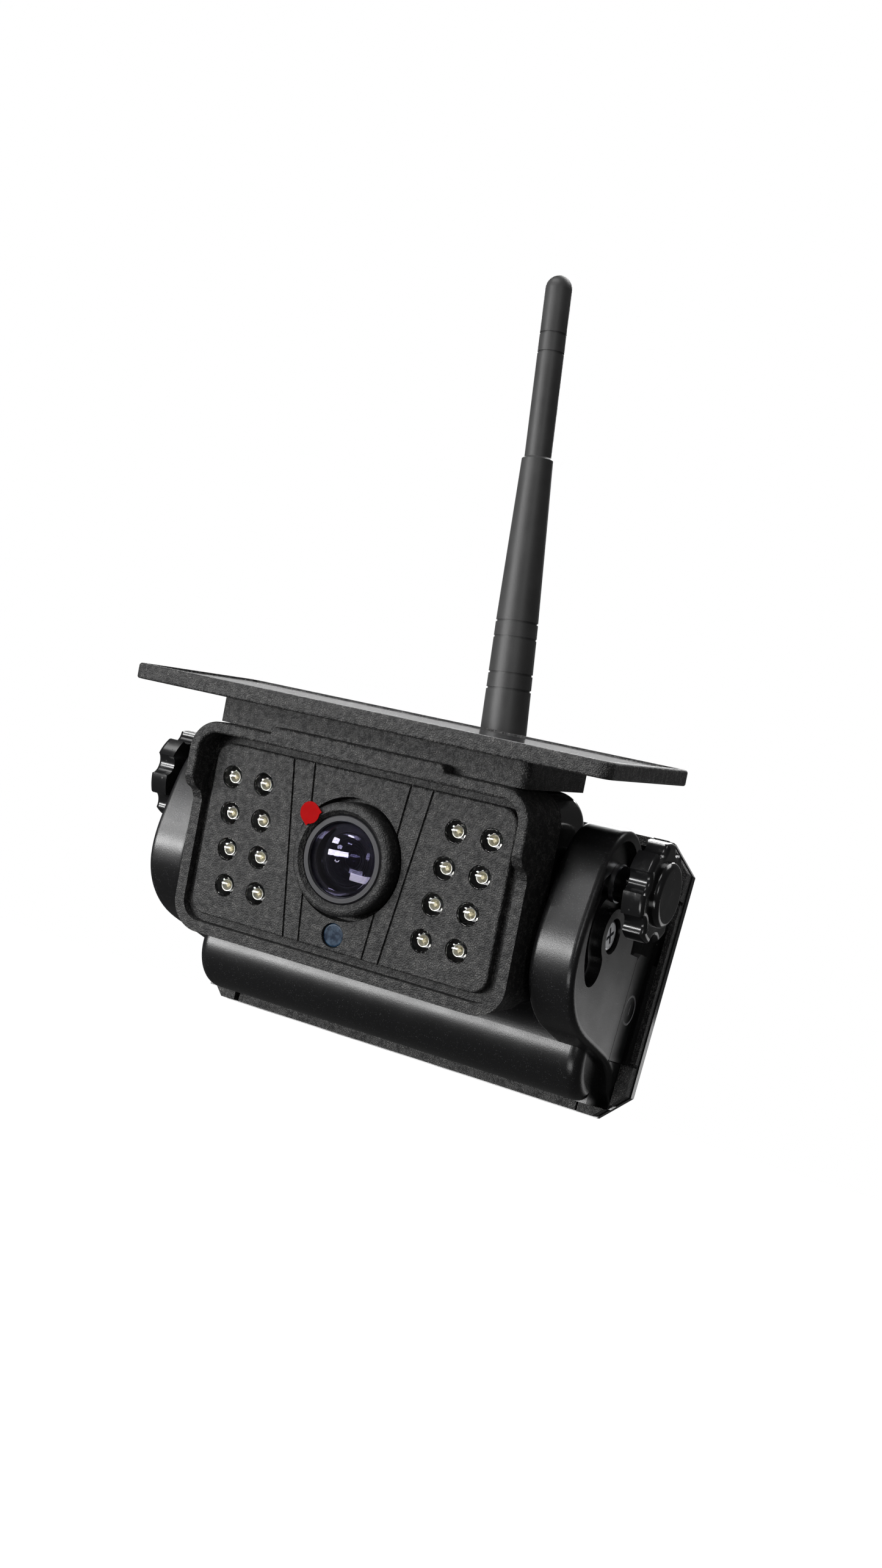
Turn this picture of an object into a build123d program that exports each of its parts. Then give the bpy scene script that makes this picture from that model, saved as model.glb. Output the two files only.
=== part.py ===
from build123d import *

import os
from math import cos, radians, sin

# Solar-powered wireless camera on a magnetic bracket, in millimetres.
# World frame: +X to the right of someone facing the lens, +Y towards the vehicle, +Z up.
# The origin is the centre of the bracket's magnetic back face, which is the plane y = 0.
# Head pieces are drawn level in a head frame, whose origin is the centre of the lamp face,
# and are then swung down about the tilt pivot to where the head rests.

os.makedirs("parts", exist_ok=True)

# ---------------------------------------------------------------- driving dimensions

# Bracket back plate
PLATE_W, PLATE_H = 116.0, 65.0        # outline of the rear shell
PLATE_CORNER = 6.5                    # chamfer on each of its corners
COVER_FRONT, COVER_BACK = -3.4, -0.4  # y of the rear cover's two faces
FRAME_FRONT = -5.8                    # y of the trim frame's front edge
GUARD_FRONT = -6.8                    # y of the raised corner guards

# Tilt pivot, as seen from the bracket
PIVOT_Y, PIVOT_Z = -34.0, 5.7
TILT = 12.9                           # degrees that the resting head looks down
CLAMP_R = 11.2                        # pivot to clamp stud

# Bracket arms
ARM_IN, ARM_OUT = 44.2, 54.6          # x of an arm's inner and outer faces
RECESS_DEPTH = 1.8                    # sunk track round the pivot boss
PIVOT_SEAT_R, PIVOT_SEAT = 3.9, 2.4   # seat of the pivot screw's head

# Battery bulge and electronics bay of the bracket housing
CELL_Y, CELL_Z = -13.0, -18.9         # axis of the battery bay
BULGE_R, BAY_R = 11.0, 9.5
BULGE_HALF, BAY_HALF = 51.5, 49.9
UPPER_HALF = 51.0                     # half width of the thinner upper bay
UPPER_FRONT, UPPER_TOP = -10.5, 24.0
UPPER_WALL = 1.8
SHELF_Z = 4.0                         # where the side face steps in to the upper bay

# Port flap on the right side of the bracket
FLAP_Y, FLAP_Z = (-15.0, -7.0), (-19.3, 5.0)
FLAP_DEPTH = 1.8
PORT_Y, PORT_Z, BUTTON_Z = -11.0, -13.0, -2.0
POCKET_X, POCKET_Y, POCKET_Z = 45.2, -13.6, (-19.0, 1.8)

# Head shell
HEAD_HALF = 42.2
HEAD_TOP, HEAD_BOTTOM = 23.7, -24.0
HEAD_MID = (HEAD_TOP + HEAD_BOTTOM) / 2
HEAD_BACK = 30.0
HEAD_CORNER = 7.0
BEZEL_BACK, CASE_FRONT = 11.8, 12.4
WALL = 2.4
VISOR_FRONT, VISOR_END_Z = -5.0, 8.0
CASE_HALF = 41.7
PIVOT_H = (21.7, -3.95)               # y, z of the pivot in the head frame
CLAMP_H = (PIVOT_H[0], PIVOT_H[1] + CLAMP_R)
SCREW_X, SCREW_Z = 34.5, 17.0         # corner screws of the head, about its middle

# Face plate and optics
FACE_HALF, FACE_TOP, FACE_BOTTOM = 37.8, 19.3, -19.6
MOAT_FLOOR, FACE_BACK = 2.0, 4.0
LENS_Z = 0.6
LENS_WELL_R = 13.4
LED_ROWS, LED_PITCH, LED_TOP_Z = 4, 8.0, 12.0
LED_R = 2.5
LED_OUTER, LED_INNER = 32.7, 24.3     # x of the top lamp in each column
LED_DRIFT = -1.03                     # each lower row stands this much nearer the middle
SENSOR_Z, SENSOR_R = -16.1, 2.6

# Solar panel and its riser
RISER_HALF, RISER_FRONT, RISER_BACK = 38.4, -1.2, 31.0
RISER_BOTTOM, RISER_TOP = 23.75, 29.45
PANEL_HALF, PANEL_FRONT, PANEL_BACK = 58.5, -8.7, 38.8
PANEL_BOTTOM, PANEL_TOP = 29.5, 33.0
PANEL_RIM = 1.9
PANEL_FLOOR = 31.5

# Antenna, drawn upright in its own frame round the fold pin
ANT_X, ANT_Y, ANT_Z = 10.6, 45.0, 15.0
ANT_LEAN = -4.4                       # degrees about the connector's axis
ANT_TIP = 124.6
KNUCKLE_R = 5.2

# Clamp knob
KNOB_IN, KNOB_RIM, KNOB_CROWN = 58.7, 63.6, 65.2
KNOB_R, KNOB_LOBES = 10.8, 7
STUD_R = 2.35

# ---------------------------------------------------------------- places and planes

HEAD = (
    Location((0, PIVOT_Y, PIVOT_Z))
    * Location((0, 0, 0), (TILT, 0, 0))
    * Location((0, -PIVOT_H[0], -PIVOT_H[1]))
)
ANTENNA = HEAD * Location((ANT_X, ANT_Y, ANT_Z), (0, ANT_LEAN, 0))
LENS_AXIS = Axis((0, 0, LENS_Z), (0, 1, 0))


def front_plane(y):
    """Sketch plane seen from the front at this depth; extrude comes forwards from it."""
    return Plane.XZ.offset(-y)


def side_plane(x):
    """Sketch plane in Y and Z at this x; extrude goes towards +X."""
    return Plane.YZ.offset(x)


def top_plane(z):
    """Sketch plane in X and Y at this height; extrude goes up."""
    return Plane.XY.offset(z)


def from_pivot(dy, dz):
    """A point of the bracket given from the tilt pivot, as Y and Z."""
    return (PIVOT_Y + dy, PIVOT_Z + dz)


def led_centres():
    """X and Z of the sixteen lamp axes, two leaning columns on each side of the lens."""
    points = []
    for row in range(LED_ROWS):
        z = LED_TOP_Z - LED_PITCH * row
        for x in (LED_OUTER + LED_DRIFT * row, LED_INNER + LED_DRIFT * row):
            points += [(x, z), (-x, z)]
    return points


def corners(half_x, half_z, mid_z=0.0):
    """The four corners of a rectangle, for fasteners and bosses."""
    return [(x, mid_z + z) for x in (-half_x, half_x) for z in (-half_z, half_z)]


def cap_arc(apex_y, rim_r, rim_y):
    """Three points of a spherical lens face, from its apex on the axis out to its rim."""
    sag = rim_y - apex_y
    radius = (rim_r ** 2 + sag ** 2) / (2 * sag)
    centre_y = apex_y + radius
    middle = rim_r / 2
    side = 1 if radius > 0 else -1
    middle_y = centre_y - side * (radius ** 2 - middle ** 2) ** 0.5
    return (0, apex_y), (middle, middle_y), (rim_r, rim_y)


def cut_corner_rectangle(width, height, corner):
    """Rectangle with its four corners cut off."""
    rectangle = Rectangle(width, height)
    chamfer(rectangle.vertices(), corner)


# ================================================================ bracket

# ---------------------------------------------------------------- arm
# Side cheek of the bracket: a rounded arm on a heel that runs back to the trim frame.
# The numbers are Y and Z from the tilt pivot, from behind the arm over its top to the heel.
ARM_TOP = [(12.5, 8.5), (6.5, 17.8), (-3.0, 22.3), (-10.3, 19.8), (-14.7, 12.0), (-16.3, 3.0)]
ARM_FOOT = [(-16.8, -5.5), (-15.0, -12.5), (-10.0, -18.2), (-3.8, -21.4), (5.0, -23.4)]
ARM_HEEL = [(14.0, -25.0), (21.0, -26.9), (25.2, -29.6), (28.2, -33.0), (30.6, -35.6)]
ARM_EDGE = 1.5

with BuildPart() as arm:
    with BuildSketch(side_plane(ARM_IN)):
        with BuildLine():
            root = (PIVOT_Y + 15.0, SHELF_Z)
            outline = [root] + [from_pivot(*p) for p in ARM_TOP + ARM_FOOT + ARM_HEEL]
            Spline(outline)
            Polyline(outline[-1], (COVER_FRONT, SHELF_Z), root)
        make_face()
    extrude(amount=ARM_OUT - ARM_IN)
    fillet(arm.edges().filter_by(GeomType.BSPLINE), ARM_EDGE)

# ---------------------------------------------------------------- battery bulge
# Round front of the battery bay, between and behind the feet of the arms.
with BuildPart() as bulge:
    with BuildSketch(side_plane(-BULGE_HALF)):
        with Locations((CELL_Y, CELL_Z)):
            Circle(BULGE_R)
    extrude(amount=2 * BULGE_HALF)
    fillet(bulge.edges().filter_by(GeomType.CIRCLE), 3.0)

# ---------------------------------------------------------------- base housing
# Front shell of the bracket: two arms, the round battery bulge between their feet, and
# the flat electronics bay behind the head. It is open at the back for assembly.
SLOT_WIDTH = 5.2
SLOT_START, SLOT_SWEEP = 89, 137      # degrees round the pivot, from +Y over +Z to the front
TRACK_R, TRACK_WIDTH = 9.9, 8.7       # sunk track round the pivot boss
TRACK_START, TRACK_SWEEP = 140, 90
POCKET_R = 9.35                       # round pocket for the knob's washer
BOSS_R = 5.9

with BuildPart() as base_housing:
    add(arm.part)
    mirror(about=Plane.YZ)
    add(bulge.part)
    # body behind the bulge, sloping back to the upper bay
    with BuildSketch(side_plane(-BULGE_HALF)):
        with BuildLine():
            slope_y = CELL_Y + BULGE_R * cos(radians(135))
            slope_z = CELL_Z + BULGE_R * sin(radians(135))
            Polyline((CELL_Y, CELL_Z - BULGE_R), (COVER_FRONT, CELL_Z - BULGE_R),
                     (COVER_FRONT, SHELF_Z), (UPPER_FRONT, SHELF_Z), (UPPER_FRONT, -2.5),
                     (slope_y, slope_z), (CELL_Y, CELL_Z), close=True)
        make_face()
    extrude(amount=2 * BULGE_HALF)
    # upper bay
    with BuildSketch(side_plane(-UPPER_HALF)):
        with BuildLine():
            Polyline((COVER_FRONT, -2.5), (UPPER_FRONT, -2.5), (UPPER_FRONT, UPPER_TOP - 2),
                     (UPPER_FRONT + 2, UPPER_TOP), (COVER_FRONT, UPPER_TOP), close=True)
        make_face()
    extrude(amount=2 * UPPER_HALF)
    # battery bay, and the board bay above it
    with BuildSketch(side_plane(-BAY_HALF)):
        with Locations((CELL_Y, CELL_Z)):
            Circle(BAY_R)
        with Locations(((CELL_Y + COVER_FRONT) / 2, CELL_Z)):
            Rectangle(COVER_FRONT - CELL_Y, 2 * BAY_R)
    extrude(amount=2 * BAY_HALF, mode=Mode.SUBTRACT)
    with BuildSketch(front_plane(COVER_FRONT)):
        with Locations((0, (UPPER_TOP - UPPER_WALL + CELL_Z) / 2)):
            Rectangle(2 * (UPPER_HALF - UPPER_WALL), UPPER_TOP - UPPER_WALL - CELL_Z)
    extrude(amount=COVER_FRONT - UPPER_FRONT - UPPER_WALL, mode=Mode.SUBTRACT)
    # pocket in the right arm for the socket and the switch
    with BuildSketch(side_plane(POCKET_X)):
        with Locations(((COVER_FRONT + POCKET_Y) / 2, (POCKET_Z[0] + POCKET_Z[1]) / 2)):
            Rectangle(COVER_FRONT - POCKET_Y, POCKET_Z[1] - POCKET_Z[0])
    extrude(amount=BAY_HALF - POCKET_X, mode=Mode.SUBTRACT)
    # posts for the two rear screws
    with BuildSketch(front_plane(COVER_FRONT)):
        with Locations(corners(45.5, 19.0)[1::2]):
            Circle(3.0)
            Circle(1.3, mode=Mode.SUBTRACT)
    extrude(amount=5.3)
    # bore for the pivot screws and arc slot for the clamp studs, through both arms
    with BuildSketch(side_plane(-ARM_OUT)):
        with Locations(from_pivot(0, 0)):
            Circle(2.05)
        with BuildLine(mode=Mode.PRIVATE):
            slot_path = CenterArc(from_pivot(0, 0), CLAMP_R, SLOT_START, SLOT_SWEEP)
        SlotArc(arc=slot_path, height=SLOT_WIDTH)
    extrude(amount=2 * ARM_OUT, mode=Mode.SUBTRACT)
    # sunk track round the pivot boss, widening to the washer's pocket
    for x in (-ARM_OUT, ARM_OUT - RECESS_DEPTH):
        with BuildSketch(side_plane(x)):
            with BuildLine(mode=Mode.PRIVATE):
                track_path = CenterArc(from_pivot(0, 0), TRACK_R, TRACK_START, TRACK_SWEEP)
            SlotArc(arc=track_path, height=TRACK_WIDTH)
            with Locations(from_pivot(-4.9, 10.4)):
                Circle(POCKET_R)
            with Locations(from_pivot(0, 0)):
                Circle(BOSS_R, mode=Mode.SUBTRACT)
        extrude(amount=RECESS_DEPTH, mode=Mode.SUBTRACT)
    for x in (-ARM_OUT, ARM_OUT - PIVOT_SEAT):
        with BuildSketch(side_plane(x)):
            with Locations(from_pivot(0, 0)):
                Circle(PIVOT_SEAT_R)
        extrude(amount=PIVOT_SEAT, mode=Mode.SUBTRACT)
    # recess for the port flap, with the socket's and the button's holes in its floor
    with BuildSketch(side_plane(ARM_OUT - FLAP_DEPTH)):
        with Locations((sum(FLAP_Y) / 2, sum(FLAP_Z) / 2)):
            Rectangle(FLAP_Y[1] - FLAP_Y[0] + 0.4, FLAP_Z[1] - FLAP_Z[0] + 0.4)
    extrude(amount=FLAP_DEPTH, mode=Mode.SUBTRACT)
    with BuildSketch(side_plane(BAY_HALF - 1)):
        with Locations((PORT_Y, PORT_Z)):
            RectangleRounded(3.6, 9.4, 1.6)
        with Locations((PORT_Y, BUTTON_Z)):
            Circle(2.1)
    extrude(amount=ARM_OUT - BAY_HALF, mode=Mode.SUBTRACT)
    # everything behind the cover's front face
    with BuildSketch(front_plane(10)):
        Rectangle(2 * PLATE_W, 2 * PLATE_H)
    extrude(amount=10 - COVER_FRONT, mode=Mode.SUBTRACT)
base_housing.part.label = "base_housing"
export_step(base_housing.part, "parts/base_housing.step")

# ---------------------------------------------------------------- rear cover
# Glossy rear shell of the bracket. Its back is sunk for the rubber pad and its front
# holds the four magnets in shallow round wells.
PAD_W, PAD_H, PAD_SINK = 92.0, 47.0, 0.6
MAGNET_X, MAGNET_Z, MAGNET_R, MAGNET_T = 33.0, 13.0, 9.0, 1.75
COVER_SCREW_X, COVER_SCREW_Z = 45.5, 19.0

with BuildPart() as rear_cover:
    with BuildSketch(front_plane(COVER_BACK)):
        cut_corner_rectangle(PLATE_W, PLATE_H, PLATE_CORNER)
    extrude(amount=COVER_BACK - COVER_FRONT)
    fillet(rear_cover.faces().sort_by(Axis.Y)[-1].edges(), 1.1)
    with BuildSketch(front_plane(COVER_BACK)):
        RectangleRounded(PAD_W, PAD_H, 4)
    extrude(amount=PAD_SINK, mode=Mode.SUBTRACT)
    with BuildSketch(front_plane(COVER_FRONT + 1.8)):
        with Locations(corners(MAGNET_X, MAGNET_Z)):
            Circle(MAGNET_R + 0.1)
    extrude(amount=1.8, mode=Mode.SUBTRACT)
    with BuildSketch(front_plane(COVER_BACK)):
        with Locations(corners(COVER_SCREW_X, COVER_SCREW_Z)[1::2]):
            Circle(1.5)
    extrude(amount=COVER_BACK - COVER_FRONT, mode=Mode.SUBTRACT)
    with BuildSketch(front_plane(COVER_BACK)):
        with Locations(corners(COVER_SCREW_X, COVER_SCREW_Z)[1::2]):
            Circle(2.7)
    extrude(amount=1.9, mode=Mode.SUBTRACT)
rear_cover.part.label = "rear_cover"
export_step(rear_cover.part, "parts/rear_cover.step")

# ---------------------------------------------------------------- trim frame
# Grained frame round the foot of the housing: thin lips with four raised corner guards.
FRAME_W, FRAME_H, FRAME_CORNER = 115.4, 64.4, 6.3
LIP_X, LIP_Z = 56.4, 29.95            # inner edge of the lips
GUARD_X, GUARD_Z = 47.2, 19.0         # the guards lie outside these
FOOT_X, FOOT_Z = 54.7, 30.0           # clear of the housing's foot

with BuildPart() as trim_frame:
    with BuildSketch(front_plane(COVER_FRONT)):
        cut_corner_rectangle(FRAME_W, FRAME_H, FRAME_CORNER)
        Rectangle(2 * LIP_X, 2 * LIP_Z, mode=Mode.SUBTRACT)
    extrude(amount=COVER_FRONT - FRAME_FRONT)
    with BuildSketch(front_plane(COVER_FRONT)):
        cut_corner_rectangle(FRAME_W, FRAME_H, FRAME_CORNER)
        Rectangle(2 * GUARD_X, PLATE_H, mode=Mode.SUBTRACT)
        Rectangle(PLATE_W, 2 * GUARD_Z, mode=Mode.SUBTRACT)
        Rectangle(2 * FOOT_X, 2 * FOOT_Z, mode=Mode.SUBTRACT)
    extrude(amount=COVER_FRONT - GUARD_FRONT)
    # slits that part the guards from the lips
    with BuildSketch(front_plane(COVER_FRONT - 0.8)):
        with Locations([(x, 0) for x in (-GUARD_X, GUARD_X)]):
            Rectangle(0.8, PLATE_H)
        with Locations([(0, z) for z in (-GUARD_Z, GUARD_Z)]):
            Rectangle(PLATE_W, 0.8)
    extrude(amount=4.0, mode=Mode.SUBTRACT)
trim_frame.part.label = "trim_frame"
export_step(trim_frame.part, "parts/trim_frame.step")

# ---------------------------------------------------------------- magnets and pad
with BuildPart() as magnets:
    with BuildSketch(front_plane(COVER_FRONT + 1.8)):
        with Locations(corners(MAGNET_X, MAGNET_Z)):
            Circle(MAGNET_R)
    extrude(amount=MAGNET_T)
magnets.part.label = "magnets"
export_step(magnets.part, "parts/magnets.step")

with BuildPart() as back_pad:
    with BuildSketch(front_plane(0)):
        RectangleRounded(PAD_W - 0.4, PAD_H - 0.4, 3.8)
    extrude(amount=-COVER_BACK + PAD_SINK)
    chamfer(back_pad.faces().sort_by(Axis.Y)[-1].edges(), 0.25)
back_pad.part.label = "back_pad"
export_step(back_pad.part, "parts/back_pad.step")

# ---------------------------------------------------------------- rear screws
# Pan-head screws that pull the rear cover against the housing's posts, under the pad.
with BuildPart() as rear_screws:
    with BuildSketch(front_plane(COVER_BACK - 0.7)):
        with Locations(corners(COVER_SCREW_X, COVER_SCREW_Z)[1::2]):
            Circle(2.5)
    extrude(amount=1.1)
    with BuildSketch(front_plane(COVER_BACK - 0.7)):
        with Locations(corners(COVER_SCREW_X, COVER_SCREW_Z)[1::2]):
            Circle(1.25)
    extrude(amount=6.5)
rear_screws.part.label = "rear_screws"
export_step(rear_screws.part, "parts/rear_screws.step")

# ---------------------------------------------------------------- battery
# One 18 mm by 65 mm lithium cell, with nickel tabs on its ends, beside the port board.
CELL_R, CELL_LENGTH, CELL_START = 9.0, 65.0, -48.9

with BuildPart() as battery_cell:
    with BuildSketch(side_plane(CELL_START)):
        with Locations((CELL_Y - 0.3, CELL_Z)):
            Circle(CELL_R)
    extrude(amount=CELL_LENGTH)
    chamfer(battery_cell.edges().filter_by(GeomType.CIRCLE), 0.6)
    with BuildSketch(side_plane(CELL_START + CELL_LENGTH)):
        with Locations((CELL_Y - 0.3, CELL_Z)):
            Circle(2.8)
    extrude(amount=0.8)
battery_cell.part.label = "battery_cell"
export_step(battery_cell.part, "parts/battery_cell.step")

with BuildPart() as battery_tabs:
    for x in (CELL_START - 0.4, CELL_START + CELL_LENGTH + 0.8):
        with BuildSketch(side_plane(x)):
            with Locations((CELL_Y + 1.2, CELL_Z)):
                Rectangle(13.0, 6.0)
        extrude(amount=0.3)
battery_tabs.part.label = "battery_tabs"
export_step(battery_tabs.part, "parts/battery_tabs.step")

# ---------------------------------------------------------------- bracket electronics
# Charge board in the upper bay; port board with the socket and the power switch's body.
with BuildPart() as charge_board:
    with BuildSketch(front_plane(-5.0)):
        with Locations((0, 11.5)):
            Rectangle(78, 18)
    extrude(amount=1.4)
    with BuildSketch(front_plane(-6.4)):
        with Locations((-20, 12), (6, 14), (26, 9)):
            Rectangle(9, 7)
    extrude(amount=1.6)
charge_board.part.label = "charge_board"
export_step(charge_board.part, "parts/charge_board.step")

with BuildPart() as port_board:
    with BuildSketch(front_plane(-8.0)):
        with Locations((36.0, -17.5)):
            Rectangle(26, 14)
        with Locations((46.9, -4.4)):
            Rectangle(2.8, 12.4)
    extrude(amount=1.3)
    # body of the power switch
    with BuildSketch(front_plane(-9.3)):
        with Locations((47.2, BUTTON_Z)):
            Rectangle(2.2, 4.0)
    extrude(amount=3.3)
port_board.part.label = "port_board"
export_step(port_board.part, "parts/port_board.step")

with BuildPart() as charge_socket:
    with BuildSketch(side_plane(45.3)):
        with Locations((PORT_Y, PORT_Z)):
            RectangleRounded(3.2, 9.0, 1.5)
    extrude(amount=7.3)
    with BuildSketch(side_plane(46.3)):
        with Locations((PORT_Y, PORT_Z)):
            RectangleRounded(2.5, 8.3, 1.2)
    extrude(amount=6.3, mode=Mode.SUBTRACT)
    with BuildSketch(side_plane(46.3)):
        with Locations((PORT_Y, PORT_Z)):
            Rectangle(0.7, 6.6)
    extrude(amount=5.2)
charge_socket.part.label = "charge_socket"
export_step(charge_socket.part, "parts/charge_socket.step")

# ---------------------------------------------------------------- power button
# Round plunger under the flap, pressed inwards against the switch on the port board.
BUTTON_R, BUTTON_TRAVEL = 2.0, 0.6

with BuildPart() as power_button:
    with BuildSketch(side_plane(48.4 + BUTTON_TRAVEL)):
        with Locations((PORT_Y, BUTTON_Z)):
            Circle(BUTTON_R + 0.5)
    extrude(amount=0.7)
    with BuildSketch(side_plane(49.4)):
        with Locations((PORT_Y, BUTTON_Z)):
            Circle(BUTTON_R)
    extrude(amount=3.1)
    chamfer(power_button.faces().sort_by(Axis.X)[-1].edges(), 0.3)
power_button.part.label = "power_button"
export_step(power_button.part, "parts/power_button.step")

# ---------------------------------------------------------------- port flap
# Soft cover over the socket and the button, flush with the side, hinged at its front edge.
FLAP_T = 1.6
RING_R = 3.4
RING_AT = (-10.9, -7.5)

with BuildPart() as port_flap:
    with BuildSketch(side_plane(ARM_OUT - FLAP_T)):
        with Locations((sum(FLAP_Y) / 2, sum(FLAP_Z) / 2)):
            flap_outline = Rectangle(FLAP_Y[1] - FLAP_Y[0], FLAP_Z[1] - FLAP_Z[0])
        chamfer(flap_outline.vertices().group_by(Axis.Y)[-1], 1.6)
    extrude(amount=FLAP_T)
    # moulded ring with a tick, the flap's only marking
    with BuildSketch(side_plane(ARM_OUT - 0.15)):
        with Locations(RING_AT):
            Circle(RING_R)
            Circle(RING_R - 0.4, mode=Mode.SUBTRACT)
            Rectangle(0.4, 2.4)
    extrude(amount=0.15, mode=Mode.SUBTRACT)
port_flap.part.label = "port_flap"
export_step(port_flap.part, "parts/port_flap.step")

# ================================================================ head

# ---------------------------------------------------------------- front bezel
# Grained front frame of the head. A visor stands out over its top and upper sides, and
# the visor's middle is raised where the riser meets it.
INNER_HALF = HEAD_HALF - WALL
INNER_TOP, INNER_BOTTOM = HEAD_TOP - 2.5, HEAD_BOTTOM + 2.5
INNER_MID = (INNER_TOP + INNER_BOTTOM) / 2
BROW_HALF, BROW_TOP = 20.7, 25.3

with BuildPart() as front_bezel:
    with BuildSketch(front_plane(BEZEL_BACK)):
        with Locations((0, HEAD_MID)):
            RectangleRounded(2 * HEAD_HALF, HEAD_TOP - HEAD_BOTTOM, HEAD_CORNER)
        with Locations((0, INNER_MID)):
            RectangleRounded(2 * INNER_HALF, INNER_TOP - INNER_BOTTOM, HEAD_CORNER - WALL,
                             mode=Mode.SUBTRACT)
    extrude(amount=BEZEL_BACK - VISOR_FRONT)
    with BuildSketch(side_plane(-HEAD_HALF)):
        with BuildLine():
            Polyline((VISOR_FRONT - 1, HEAD_BOTTOM - 1), (0, HEAD_BOTTOM - 1),
                     (0, VISOR_END_Z - 2.5), (-1.2, VISOR_END_Z - 0.6),
                     (-3.6, VISOR_END_Z + 0.6), (VISOR_FRONT, VISOR_END_Z + 2.6),
                     (VISOR_FRONT - 1, VISOR_END_Z + 4), close=True)
        make_face()
    extrude(amount=2 * HEAD_HALF, mode=Mode.SUBTRACT)
    with BuildSketch(front_plane(RISER_FRONT - 0.1)):
        with BuildLine():
            Polyline((-BROW_HALF - 1.2, HEAD_TOP - 1), (-BROW_HALF - 1.2, HEAD_TOP),
                     (-BROW_HALF, BROW_TOP), (BROW_HALF, BROW_TOP),
                     (BROW_HALF + 1.2, HEAD_TOP), (BROW_HALF + 1.2, HEAD_TOP - 1), close=True)
        make_face()
    extrude(amount=RISER_FRONT - 0.1 - VISOR_FRONT)
    fillet(front_bezel.edges().group_by(Axis.Y)[0], 0.6)
front_bezel.part.move(HEAD)
front_bezel.part.label = "front_bezel"
export_step(front_bezel.part, "parts/front_bezel.step")

# ---------------------------------------------------------------- face plate
# Raised plate that carries the lamps: a plateau inside a narrow moat, with a wide round
# well for the lens and four fine grooves that draw together towards the bottom.
FACE_MID = (FACE_TOP + FACE_BOTTOM) / 2
GROOVES = [((12.2, FACE_TOP), (8.0, FACE_BOTTOM)), ((17.7, FACE_TOP), (12.0, FACE_BOTTOM))]
GROOVE_W, GROOVE_DEPTH = 0.5, 0.45

with BuildPart() as face_plate:
    with BuildSketch(front_plane(FACE_BACK)):
        with Locations((0, INNER_MID)):
            RectangleRounded(2 * INNER_HALF - 0.1, INNER_TOP - INNER_BOTTOM - 0.1, 4.5)
    extrude(amount=FACE_BACK - MOAT_FLOOR)
    with BuildSketch(front_plane(MOAT_FLOOR)):
        with Locations((0, FACE_MID)):
            RectangleRounded(2 * FACE_HALF, FACE_TOP - FACE_BOTTOM, 3.8)
    extrude(amount=MOAT_FLOOR)
    fillet(face_plate.edges().group_by(Axis.Y)[0], 0.5)
    # fine grooves
    with BuildSketch(front_plane(GROOVE_DEPTH)):
        for high, low in GROOVES:
            for side in (-1, 1):
                with BuildLine():
                    Line((side * high[0], high[1] + 1), (side * low[0], low[1] - 1))
                trace(line_width=GROOVE_W)
    extrude(amount=GROOVE_DEPTH, mode=Mode.SUBTRACT)
    # holes for the lamps, the lens and the light sensor
    with BuildSketch(front_plane(FACE_BACK)):
        with Locations(led_centres()):
            Circle(LED_R + 0.1)
        with Locations((0, LENS_Z)):
            Circle(LENS_WELL_R)
        with Locations((0, SENSOR_Z)):
            Circle(SENSOR_R + 0.1)
    extrude(amount=FACE_BACK, mode=Mode.SUBTRACT)
    # bosses that take the corner screws
    with BuildSketch(front_plane(CASE_FRONT)):
        with Locations(corners(SCREW_X, SCREW_Z, HEAD_MID)):
            Circle(2.2)
            Circle(1.0, mode=Mode.SUBTRACT)
    extrude(amount=CASE_FRONT - FACE_BACK)
face_plate.part.move(HEAD)
face_plate.part.label = "face_plate"
export_step(face_plate.part, "parts/face_plate.step")

# ---------------------------------------------------------------- lens ring
# Fat grained ring that stands out of the well round the lens barrel.
with BuildPart() as lens_ring:
    with BuildSketch(top_plane(LENS_Z)):
        with BuildLine():
            Polyline((9.7, 5.6), (LENS_WELL_R - 0.1, 5.6), (LENS_WELL_R - 0.1, 3.2), (12.3, 3.2),
                     (12.3, -1.6))
            TangentArc((12.3, -1.6), (10.9, -3.0), tangent=(0, -1))
            Polyline((10.9, -3.0), (10.5, -3.0), (9.7, -2.1), (9.7, 5.6))
        make_face()
    revolve(axis=LENS_AXIS)
lens_ring.part.move(HEAD)
lens_ring.part.label = "lens_ring"
export_step(lens_ring.part, "parts/lens_ring.step")

# ---------------------------------------------------------------- lens barrel
# Machined barrel that holds the glasses in line with the image sensor.
with BuildPart() as lens_barrel:
    with BuildSketch(top_plane(LENS_Z)):
        with BuildLine():
            Polyline((8.3, -2.3), (9.3, -2.3), (9.6, -2.0), (9.6, 10.8), (7.1, 10.8), (7.1, 9.0),
                     (5.6, 9.0), (5.6, 1.0), (8.05, 1.0), (8.05, -1.9), (8.3, -2.3))
        make_face()
    revolve(axis=LENS_AXIS)
lens_barrel.part.move(HEAD)
lens_barrel.part.label = "lens_barrel"
export_step(lens_barrel.part, "parts/lens_barrel.step")

# ---------------------------------------------------------------- lenses and iris
with BuildPart() as front_lens:
    with BuildSketch(top_plane(LENS_Z)):
        with BuildLine():
            ThreePointArc(*cap_arc(-3.9, 8.0, -1.4))
            Polyline((8.0, -1.4), (8.0, 0.95), (6.4, 0.95))
            ThreePointArc(*cap_arc(-1.5, 6.4, 0.95))
            Line((0, -1.5), (0, -3.9))
        make_face()
    revolve(axis=LENS_AXIS)
front_lens.part.move(HEAD)
front_lens.part.label = "front_lens"
export_step(front_lens.part, "parts/front_lens.step")

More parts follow.
